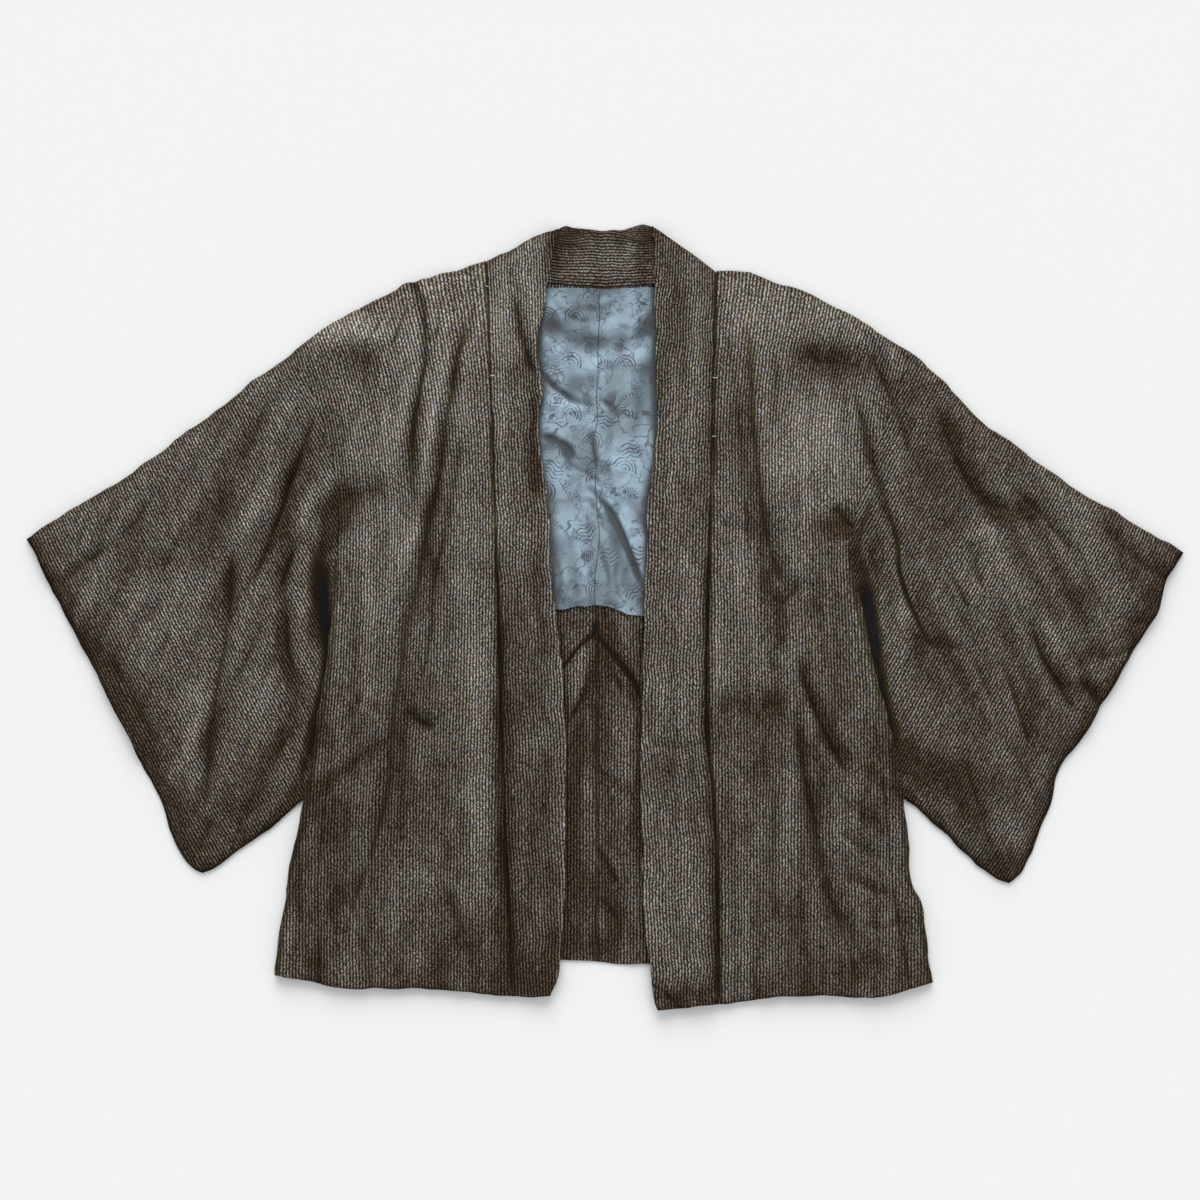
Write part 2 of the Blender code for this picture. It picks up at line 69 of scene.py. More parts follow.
# %% [markdown]
# ## Outlines
# A pattern cutter draws a garment as a few curves. Every row below holds one point of the
# left half and its fellow on the right half, in millimetres, and a smooth curve runs through
# them. Neighbouring pieces share a curve, so their seams meet.
# %% Outline tables
MM = 0.001
MIDDLE = np.array([0.0, 2.5])   # middle of the jacket in the frame of the tables
CENTRE_SEAM_X = -8.0
NECKLINE_Y = 333.0
COLLAR_SPLIT_Y = 75.0           # collar row level with the armpit
BACK_SPLIT_Y = 90.0             # centre back row level with the armpit
GUSSET_TIP = 0.5                # how far the gusset runs into the last row below the armpit

SHOULDER = (            # folded edge, from the neck to the sleeve
    (-117.5, 357, 111.5, 347), (-144.5, 348, 130.5, 346.5), (-179.5, 336, 155.5, 339),
    (-196, 333.5, 175.5, 333.5), (-208, 326.5, 196, 327.5), (-222, 319, 210.5, 321),
    (-244.5, 307, 235.5, 306.5), (-284.5, 284, 275.5, 283), (-315, 262, 304.5, 265),
)
ARMHOLE = (             # armpit to shoulder
    (-268, 60, 245.5, 59), (-266, 94, 247.5, 89), (-267, 129, 257.5, 129),
    (-272, 164, 269.5, 169), (-282, 199, 283.5, 204), (-295, 234, 296.5, 239),
    (-315, 262, 304.5, 265),
)
SIDE_FOLD = (           # gusset's folded edge, hem corner to armpit
    (-326.5, -357, 324.5, -364), (-322.5, -326, 318.5, -326), (-315, -283, 312.5, -286),
    (-311, -250, 301.5, -259), (-300, -208, 299, -221), (-295, -178, 293.5, -176),
    (-283.5, -111, 280.5, -111), (-275.5, -65, 271.5, -71), (-270, -20, 258.5, -21),
    (-267.5, 30, 250.5, 19), (-268, 60, 245.5, 59),
)
GUSSET_SEAM = (         # gusset sewn to the body, hem to armpit
    (-284.5, -363.5, 305, -369), (-285.5, -310, 301, -338), (-286.5, -270, 293.5, -305),
    (-284, -230, 287.5, -261), (-278, -180, 279.5, -178), (-267, -100, 270, -110),
    (-262, -40, 253, -30), (-262, 20, 244.5, 18), (-268, 60, 245.5, 59),
)
FRONT_HEM = (           # collar seam to gusset seam
    (-93, -378, 114.5, -384), (-145, -371.5, 145.5, -381.5), (-185, -369, 175.5, -377.5),
    (-225, -369, 210.5, -375.5), (-265, -368.5, 270, -378), (-284.5, -363.5, 305, -369),
)
BACK_HEM = (            # centre seam to gusset seam
    (CENTRE_SEAM_X, -343, CENTRE_SEAM_X, -343), (-100, -342, 100, -349),
    (-200, -353, 200, -359), (-284.5, -363.5, 305, -369),
)
SLEEVE_TOP = (          # folded edge, shoulder to cuff corner
    (-315, 262, 304.5, 265), (-340, 243, 330, 244), (-384.5, 209, 358, 214),
    (-424.5, 178, 398, 178), (-484.5, 135, 455.5, 136), (-524.5, 111, 515.5, 100),
    (-576.5, 79, 576.5, 65),
)
CUFF = (                # rounded lower corner to cuff corner
    (-401.5, -255, 404.5, -265), (-417, -246, 417, -254), (-430.5, -223, 430, -225),
    (-444.5, -181, 449, -178), (-479.5, -111, 456, -150), (-503.5, -62, 485.5, -106),
    (-525.5, -22, 528, -33), (-546, 16, 552.5, 6), (-563.5, 54, 560.5, 37),
    (-576.5, 79, 576.5, 65),
)
SLEEVE_BOTTOM = (       # hidden corner under the body to rounded corner
    (-235, -132, 237, -130), (-295.5, -177, 293.5, -174), (-324.5, -201, 335.5, -209),
    (-364.5, -231, 375.5, -248), (-387, -248, 391, -260), (-401.5, -255, 404.5, -265),
)
SLEEVE_FREE = (         # open inner edge, hidden corner to armpit
    (-235, -132, 237, -130), (-254, -15, 240, -15), (-261, 36, 241, 36),
    (-268, 60, 245.5, 59),
)
COLLAR_SEAM = (         # front collar seam, hem to neck
    (-93, -378, 114.5, -384), (-97, -251, 112, -251), (-100, -181, 108.5, -181),
    (-103.5, -81, 101.5, -91), (-107.5, 59, 104.5, 59), (-112, 189, 107, 189),
    (-117.5, 357, 111.5, 347),
)
COLLAR_EDGE = (         # free folded edge of the collar, hem to neck
    (-53.5, -376, 52.5, -391), (-43, -331, 43.5, -331), (-40.5, -241, 38, -241),
    (-38.5, -121, 36.5, -161), (-44.5, -31, 39, -31), (-50.7, 20, 39.5, 10),
    (-55, 58, 41.5, 57), (-55.5, 95, 43, 92), (-58, 131, 45, 127),
    (-62.5, 156, 49.5, 154), (-66.5, 187, 51, 182), (-65, 209, 52.2, 207),
    (-62, 225, 52.4, 226), (-64, 241, 52, 244), (-66.8, 264, 51.3, 267),
    (-64.5, 292, 50.8, 294), (-58.5, 318, 50.5, 319), (-55.7, 341, 50.3, 341),
    (-46, 391, 48, 391.5),
)
NECKLINE = (            # collar sewn to the back, centre to shoulder
    (CENTRE_SEAM_X, NECKLINE_Y, CENTRE_SEAM_X, NECKLINE_Y), (-57, 336.5, 48, 334),
    (-117.5, 357, 111.5, 347),
)
NECK_TOP = (            # collar's free edge behind the neck, centre to shoulder
    (CENTRE_SEAM_X, 389.4, CENTRE_SEAM_X, 389.4), (-15, 389.6, 15.5, 389.3), (-28.5, 391.6, 26, 391.8),
    (-37.5, 394.2, 37.5, 394), (-46, 391, 48, 391.5),
)
LINING_BOTTOM = (       # centre seam to the hidden side edge
    (-9.5, 12.5, -9.5, 12.5), (-19, 11, 4, 12.5), (-31, 12.5, 16, 8.5), (-48, 9.5, 30, 3),
    (-96, 6, 92, -2),
)
LINING_SEAM = (         # centre seam of the lining, which has shifted and is no longer straight
    (-9.5, 12.5), (-8.3, 45), (-5.8, 72), (-6.4, 96), (-8.6, 120), (-8, 150), (-10.2, 166),
    (-10.8, 180), (-7.8, 200), (-8.2, 225), (-7.2, 250), (-5.6, 275), (-4.6, 300), (-4.6, 331.5),
)
LINING_TOP = (
    (-4.6, 331.5, -4.6, 331.5), (-45, 331.5, 40, 331), (-90, 331.5, 88, 331),
)
SIDES = ("left", "right")
CURVES = (SHOULDER, SLEEVE_TOP, CUFF, SLEEVE_BOTTOM, SLEEVE_FREE, ARMHOLE, SIDE_FOLD, GUSSET_SEAM,
          FRONT_HEM, BACK_HEM, COLLAR_SEAM, COLLAR_EDGE, NECKLINE, NECK_TOP)
print("outline curves:", len(CURVES), "for each half")

# %% [markdown]
# ## Curves and grids
# `smooth_curve` bends through the points, `evenly` cuts a curve into equal steps, and `patch`
# fills the room between four curves with a grid, as a loom would between four edges. This is
# called a Coons patch.
# %% Curve helpers
CURVE_STEPS = 16


def half(table, side):
    """One half's points of an outline table."""
    columns = slice(0, 2) if side == "left" else slice(2, 4)
    return np.array(table)[:, columns]


def smooth_curve(points):
    """Smooth curve through the points."""
    knots = np.asarray(points, dtype=float)
    start, end = knots[:-1, None], knots[1:, None]
    before = np.vstack([knots[:1], knots[:-2]])[:, None]
    after = np.vstack([knots[2:], knots[-1:]])[:, None]
    share = (np.arange(CURVE_STEPS) / CURVE_STEPS)[None, :, None]
    square, cube = share ** 2, share ** 3
    curve = (start * (2 * cube - 3 * square + 1) + (end - before) / 2 * (cube - 2 * square + share)
             + end * (3 * square - 2 * cube) + (after - start) / 2 * (cube - square))
    return np.vstack([curve.reshape(-1, knots.shape[1]), knots[-1:]])


def lengths_along(curve):
    steps = np.linalg.norm(np.diff(curve, axis=0), axis=1)
    return np.concatenate([[0.0], np.cumsum(steps)])


def evenly(curve, steps):
    """The curve again, cut into equal steps."""
    lengths = lengths_along(curve)
    wanted = np.linspace(0.0, lengths[-1], steps + 1)
    return np.stack([np.interp(wanted, lengths, curve[:, axis]) for axis in (0, 1)], axis=1)


def edge_curve(table, side, steps):
    return evenly(smooth_curve(half(table, side)), steps)


def patch(bottom, top, inner, outer):
    """Grid of plan points between four edge curves: rows run from inner to outer."""
    up = np.linspace(0.0, 1.0, len(inner))[:, None, None]
    over = np.linspace(0.0, 1.0, len(bottom))[None, :, None]
    ruled = (bottom[None] * (1 - up) + top[None] * up
             + inner[:, None] * (1 - over) + outer[:, None] * over)
    corners = ((bottom[0] * (1 - over) + bottom[-1] * over) * (1 - up)
               + (top[0] * (1 - over) + top[-1] * over) * up)
    return ruled - corners


def ramp(value, start, end):
    """Smooth rise from 0 at start to 1 at end."""
    share = np.clip((value - start) / (end - start), 0.0, 1.0)
    return share * share * (3 - 2 * share)


print("sleeve top, left, in 5 steps:", edge_curve(SLEEVE_TOP, "left", 5).round(1).tolist())

# %% [markdown]
# ## Creases
# Cloth that has been folded away and laid out again keeps long soft troughs with a low ridge
# beside them. A simulation would drop them anywhere. Here each one is pressed in one by one, as
# a path with a width and a depth, so that they lie and differ as they do on a worn jacket.
#
# All heights are kept on a map of small squares in plan, a relief map. It starts level, and
# every crease is added to it. Two maps are enough for the outside: one for the body with its
# collar, and one for the sleeves, which pass under the body at the sides.
# %% Relief map
CELL = 1.5                      # side of a square of the map
MAP_REACH = (600.0, 411.0)      # from the middle to the sides of the map
MAP_X, MAP_Y = (np.arange(-reach, reach + CELL, CELL) for reach in MAP_REACH)
map_x, map_y = np.meshgrid(MAP_X, MAP_Y)
Crease = namedtuple("Crease", "width depth rise_left rise_right path line", defaults=[1.0])
RIDGE_OUT = 2.0                 # a ridge's distance from its trough, in widths
RIDGE_WIDTH = 1.25              # and its width, in the same
REACH = 5.0                     # how far a crease is felt, in widths
TAPER = 0.22                    # share of the length in which an end fades
TAPER_LONGEST = 40.0
SHARP = 0.35                    # share of a trough's depth that ends in a sharp line
SHARP_WIDTH = 0.5
LINE_WIDTH = 1.5                # mm, the painted dark line of shade at the bottom of a deep trough
LINE_FROM, LINE_DEPTH = 2.6, 7.0            # depth where that line starts to show, and its range
BEAT = 28.0                     # mm of path between two of its random strengths
WEAKEST, STRONGEST = 0.6, 1.4   # and the range of these
RELIEF = 1.1                    # all depths and rises below are made this much bolder


def stroke(path, reach, seed):
    """The part of the map near a path, with each square's distance from it (above 0 on its
    left) and a strength that fades at both ends and is uneven between them."""
    line = smooth_curve(np.reshape(path, (-1, 2)))
    line = evenly(line, max(int(lengths_along(line)[-1] / (2 * CELL)), 6))
    lengths = lengths_along(line)
    low, high = line.min(axis=0) - reach, line.max(axis=0) + reach
    rows = slice(*np.searchsorted(MAP_Y, (low[1], high[1])))
    near = rows, slice(*np.searchsorted(MAP_X, (low[0], high[0])))
    x, y = map_x[near], map_y[near]
    nearest = np.full(x.shape, 1e9)
    signed, travel = np.zeros(x.shape), np.zeros(x.shape)
    for start, end, at in zip(line, line[1:], lengths):
        run = end - start
        size = np.hypot(*run)
        forward = np.clip(((x - start[0]) * run[0] + (y - start[1]) * run[1]) / size, 0.0, size)
        away_x = x - start[0] - run[0] * forward / size
        away_y = y - start[1] - run[1] * forward / size
        away = np.hypot(away_x, away_y)
        closer = away < nearest
        side = np.where(run[0] * away_y - run[1] * away_x > 0, 1.0, -1.0)
        nearest = np.where(closer, away, nearest)
        signed = np.where(closer, away * side, signed)
        travel = np.where(closer, at + forward, travel)
    fade = min(TAPER * lengths[-1], TAPER_LONGEST)
    strength = ramp(travel, 0.0, fade) * ramp(lengths[-1] - travel, 0.0, fade)
    random = np.random.default_rng(seed)
    beats = random.uniform(WEAKEST, STRONGEST, max(int(lengths[-1] / BEAT), 2) + 1)
    return near, signed, strength * np.interp(travel, np.linspace(0.0, lengths[-1], len(beats)), beats)


def press(relief, crease, seed):
    """Add one crease to a relief map, with a painted dark line of shade in the bottom of a deep one. Its
    ridges rise to the left and right of its path.
    """
    crease = Crease(*crease)
    near, signed, strength = stroke(crease.path, REACH * crease.width, seed)
    across = signed / crease.width
    trough = (1 - SHARP) * np.exp(-across ** 2) + SHARP * np.exp(-np.abs(across) / SHARP_WIDTH)
    shape = -crease.depth * trough
    shape += crease.rise_left * np.exp(-((across - RIDGE_OUT) / RIDGE_WIDTH) ** 2)
    shape += crease.rise_right * np.exp(-((across + RIDGE_OUT) / RIDGE_WIDTH) ** 2)
    relief[0][near] += shape * strength * RELIEF
    line_dark = np.clip((crease.depth - LINE_FROM) / LINE_DEPTH, 0.0, 1.0)
    relief[1][near] += np.exp(-(signed / LINE_WIDTH) ** 2) * line_dark * strength * crease.line


print("relief map:", map_x.shape, "squares of", CELL, "mm")

# %% [markdown]
# The first table holds creases of the shoulders, which cross from the body to the sleeves.
# A row gives width, depth, rise of the ridge on the left and on the right, and the path as x, y,
# x, y and so on, all in millimetres. Paths run downwards, so their left hand is the +X side.
# %% Creases across the shoulders
SHOULDER_CREASES = (
    # left: hollow under the sleeve's edge, its rim, and the pull into the armpit
    (11, 3.6, 2.2, 0, (-252, 290, -251, 268, -248, 246, -250, 225)),
    (5, 2, 1.6, 0, (-236, 262, -243, 222, -252, 195, -262, 168, -270, 140)),
    (14, 4.2, 1.2, 1.2, (-204, 138, -230, 129, -256, 121, -272, 108, -280, 88, -286, 56)),
    (5, 5, 1.6, 2.2, (-284, 222, -292, 195, -301, 172, -307, 153, -315, 133, -322, 110, -331, 88, -339, 66,
     -348, 40, -354, 20)),
    (4, 2.4, 1, 1, (-276, 215, -279, 195, -282, 175, -290, 160)),
    (5, 2, 0.8, 0.8, (-290, 150, -300, 125, -306, 100, -312, 82)),
    # right: hollow under the shoulder, with the bright swell below it
    (13, 6.5, 0, 3, (196, 268, 214, 258, 236, 256, 260, 247, 272, 238)),
    (4, 2.6, 1.2, 0.5, (195, 286, 194, 262, 197, 238, 203, 214)),
    (4, 3.4, 1.5, 1.2, (246, 232, 252, 214, 259, 194, 264, 176, 268, 158, 274, 138, 280, 116, 286, 96, 291,
     74, 293, 56, 298, 36, 304, 16, 312, 0, 321, -22)),
    (6, 4.2, 1.6, 1.6, (255, 276, 266, 262, 276, 242, 286, 222, 292, 207, 298, 190, 305, 168, 312, 148)),
    (4, 2.2, 0.8, 0.8, (250, 292, 264, 280, 276, 262, 284, 246)),
    (8, 6, 1.5, 2, (228, 114, 238, 103, 248, 88)),
    (6, 5, 1, 1, (268, 124, 262, 106, 256, 86, 250, 60)),
)
print("creases across the shoulders:", len(SHOULDER_CREASES))

# %% [markdown]
# The long troughs of the two fronts fall from the shoulders to the hem, and short ones fan
# out where the cloth was gripped or where it pushes against the hem.
# %% Creases of the left front
LEFT_CREASES = (
    # from the sleeve side to the collar
    (4, 5.4, 1.5, 0.8, (-200, 352, -190, 334, -181, 313, -179, 288, -179, 257, -183, 235, -189, 200, -192,
     172)),
    (5, 3, 0.8, 0.8, (-184, 226, -190, 200, -192, 170, -192, 140, -187, 112, -184, 92)),
    (8.5, 6.5, 1, 3, (-134, 316, -141, 284, -148, 256, -153, 226, -158, 198, -161, 168, -166, 138, -175,
     100, -182, 62, -189, 24, -198, -10, -203, -44, -209, -84, -213, -130, -217, -172, -226, -210, -236,
     -244, -248, -276, -254, -300)),
    (3.2, 3.2, 1.2, 1.2, (-136, 204, -143, 174, -149, 142, -154, 112, -160, 80, -167, 50, -171, 20, -175,
     -20, -183, -66, -190, -86)),
    (2.6, 2.6, 0.8, 0.8, (-196, 314, -204, 292, -216, 266)),
    (2.6, 2.2, 0.8, 0.8, (-208, 304, -216, 282, -224, 258)),
    (2.6, 2, 0.7, 0.7, (-222, 300, -233, 280, -240, 262)),
    (2.6, 2, 0.7, 0.7, (-158, 330, -165, 306, -168, 280, -172, 262)),
    (2.6, 1.8, 0.6, 0.6, (-128, 326, -132, 300, -140, 270)),
    (7, 5.5, 2, 1, (-201, -88, -192, -96, -180, -104, -166, -110)),
    (3.5, 1.8, 0.6, 0.6, (-162, 298, -167, 284, -172, 268, -175, 250)),
    (5, 1.8, 0.8, 0.8, (-196, 262, -204, 240, -210, 215, -216, 196)),
    (8, 2.4, 0.8, 0.8, (-214, 100, -218, 70, -222, 40, -228, 12)),
    (10, 3.2, 1.2, 1.2, (-262, -70, -250, -100, -246, -135, -250, -175)),
    (4, 2.6, 1.2, 0.8, (-270, -62, -256, -72, -244, -82, -228, -92, -218, -98)),
    (4, 2.2, 0.8, 1, (-266, -112, -254, -98, -246, -84, -240, -72)),
    (4, 2.2, 0.9, 0.9, (-262, 58, -254, 44, -258, 30, -266, 20)),
    (9, 3, 1, 1, (-200, -180, -208, -205, -214, -235, -218, -270, -222, -310)),
    (6, 3, 1.2, 1.2, (-164, -258, -156, -280, -146, -300, -138, -322)),
    (4, 2, 0.8, 0.8, (-206, -212, -194, -232, -178, -246, -166, -262)),
    (4, 1.8, 0.8, 0.6, (-158, -222, -150, -244, -144, -268)),
    (5, 2.2, 0.8, 1, (-128, -262, -122, -284, -122, -312, -128, -340)),
    (4, 2, 0.8, 0.8, (-196, -300, -206, -318, -210, -342, -206, -372)),
    (4, 2, 0.8, 0.8, (-240, -320, -236, -340, -232, -372)),
    (4, 1.6, 0.6, 0.6, (-168, -330, -160, -346, -158, -374)),
    (4, 2, 0.8, 0.8, (-278, -268, -262, -276, -250, -288, -246, -306)),
    (3.5, 1.6, 0.6, 0.6, (-276, -310, -264, -314, -252, -306)),
)
print("creases of the left front:", len(LEFT_CREASES))

# %% [markdown]
# The right front has fewer long troughs and more short ones, because it lies looser.
# %% Creases of the right front
RIGHT_CREASES = (
    # from the collar to the side
    (4.5, 4.2, 1.4, 1, (119, 306, 123, 280, 127, 254, 131, 224, 134, 194, 137, 164, 139, 134, 142, 104,
     144, 74, 146, 44)),
    (8, 6.8, 2.6, 1.2, (141, 300, 145, 268, 147, 234, 148, 200, 151, 168, 155, 134, 159, 102, 165, 72, 173,
     46, 182, 30, 194, 18)),
    (7, 3.6, 1, 1.2, (196, 42, 188, 26, 178, 14, 170, -6)),
    (5, 2.2, 1, 0.6, (132, 350, 136, 334, 140, 318)),
    (6, 2.6, 1.2, 1, (172, 264, 171, 236, 169, 208, 170, 178)),
    (4, 1.8, 0.8, 0.6, (160, 318, 160, 298, 159, 276)),
    (5, 2.4, 1.4, 0.4, (110, 94, 124, 93, 138, 90, 148, 84)),
    (5, 2.4, 0.8, 0.8, (200, 62, 206, 40, 210, 16, 216, -8, 222, -30)),
    (8, 2.6, 1, 1, (226, 60, 230, 30, 236, 4, 242, -24)),
    (14, 4, 1.6, 0, (110, -76, 132, -84, 154, -88, 176, -84, 192, -74)),
    (7, 3.2, 0.6, 1, (138, -100, 152, -106, 164, -114, 172, -134, 178, -158)),
    (4, 2.2, 0.8, 0.8, (162, -24, 166, -40, 174, -56)),
    (6, 5.4, 1.8, 1.6, (190, -26, 196, -50, 203, -72, 211, -94, 219, -112, 228, -130, 239, -150, 252,
     -166)),
    (8, 6.8, 1.8, 2.2, (186, -88, 193, -112, 198, -144, 203, -172, 209, -200, 214, -228, 219, -258, 228,
     -286, 237, -308, 244, -330, 250, -352, 258, -384)),
    (6, 4.5, 1.4, 0.8, (236, -288, 246, -312, 256, -334, 266, -352)),
    (7, 4, 1, 1.2, (232, -318, 236, -342, 238, -384)),
    (6, 2.8, 1, 1, (160, -150, 168, -184, 170, -216, 166, -248, 170, -284, 166, -330)),
    (4, 2, 0.8, 0.8, (148, -166, 152, -190, 156, -214)),
    (4, 1.8, 0.8, 0.6, (182, -238, 192, -254, 204, -264)),
    (5, 2.8, 1, 1, (186, -296, 192, -318, 194, -342, 192, -384)),
    (4.5, 2.4, 1.2, 0.6, (232, -172, 246, -186, 262, -200, 276, -206)),
    (5, 2.6, 1.2, 0.8, (226, -208, 246, -220, 264, -234, 282, -240)),
    (5, 2.8, 1.4, 0.8, (234, -258, 252, -262, 270, -270, 290, -276)),
    (4, 2, 0.8, 0.6, (252, -300, 266, -308, 282, -308, 294, -300)),
    (4, 2.2, 0.8, 0.8, (118, -222, 122, -238, 124, -254)),
    (4, 2, 0.8, 0.8, (112, -132, 124, -142, 138, -152, 148, -168)),
    (3.5, 2, 0.8, 0.8, (136, -338, 134, -354, 128, -384)),
    (3.5, 2, 0.6, 0.6, (156, -334, 150, -352, 152, -384)),
    (3.5, 1.8, 0.6, 0.6, (174, -340, 176, -356, 180, -384)),
)
print("creases of the right front:", len(RIGHT_CREASES))

# %% [markdown]
# The collar is a double strip, stiffer than the fronts, so its own creases are shallow. It
# dips along its seam, more and more towards the hem.
# %% Creases of the collar
COLLAR_CREASES = (
    # the dip along both seams
    (4.5, 3, 0.6, 0.6, (-118, 380, -117, 300, -114, 230, -112, 170, -110, 100, -107, 40)),
    (6.5, 4.6, 0.8, 0.8, (-108, 70, -105, 0, -103, -60, -104, -110, -107, -160, -106, -210, -103, -250)),
    (9, 4.8, 0.8, 0.8, (-105, -190, -100, -250, -94, -300, -90, -340, -88, -400)),
    (5, 3.8, 0.6, 0.6, (110, 368, 110, 320, 111, 280, 113, 254, 110, 226, 109, 190)),
    (5, 4.2, 0.8, 0.8, (109, 210, 109, 140, 106, 90, 103, 50, 102, 0, 101, -60, 102, -100)),
    (6.5, 5, 0.8, 0.8, (101, -70, 103, -120, 109, -160, 111, -200, 114, -250, 113, -300, 112, -340, 113,
     -410)),
    # left strip
    (4.5, 3.8, 0.8, 0.8, (-89, 328, -87, 308, -83, 286, -78, 266, -72, 248, -66, 232)),
    (6, 2.8, 0.4, 0.8, (-76, 196, -73, 170, -69, 144, -62, 118, -56, 104)),
    (4, 1.8, 0.5, 0.5, (-96, 214, -94, 178, -92, 140, -90, 102)),
    (6, 2.2, 0.5, 0.5, (-76, 84, -72, 46, -69, 14, -62, -10, -54, -28)),
    (4, 1.6, 0.5, 0.4, (-98, -128, -88, -140, -76, -146, -66, -160)),
    (4, 1.6, 0.5, 0.4, (-98, -176, -86, -184, -72, -190, -56, -198)),
    (3.5, 1.4, 0.4, 0.4, (-98, -206, -88, -216, -80, -224)),
    (9, 2.6, 0.4, 0.6, (-84, -280, -78, -310, -74, -345, -72, -390)),
    (4, 1.6, 0.5, 0.5, (-66, -120, -58, -150, -52, -178)),
    # right strip
    (6, 2.2, 0.5, 0.5, (80, 330, 74, 300, 69, 272, 66, 252)),
    (4, 1.8, 0.5, 0.5, (65, 232, 66, 198, 66, 164, 64, 130)),
    (4, 1.8, 0.6, 0.4, (94, 200, 93, 186, 92, 168)),
    (5, 2, 0.6, 0.6, (50, 150, 46, 124, 44, 96)),
    (4, 1.8, 0.7, 0.2, (44, -124, 62, -127, 82, -127, 100, -124)),
    (3, 1.4, 0.6, 0.2, (44, -138, 54, -139, 64, -144)),
    (4, 1.6, 0.6, 0.3, (44, -288, 60, -297, 80, -300, 104, -296)),
    (4, 1.8, 0.6, 0.4, (52, -300, 70, -314, 88, -332, 106, -348)),
    (6, 2, 0.5, 0.5, (48, -196, 56, -214, 62, -236)),
    (4, 1.4, 0.5, 0.3, (74, -212, 88, -216, 104, -214)),
    (4, 3.4, 2.4, 0, (44, -360, 56, -370, 70, -382, 84, -396)),
)
print("creases of the collar:", len(COLLAR_CREASES))

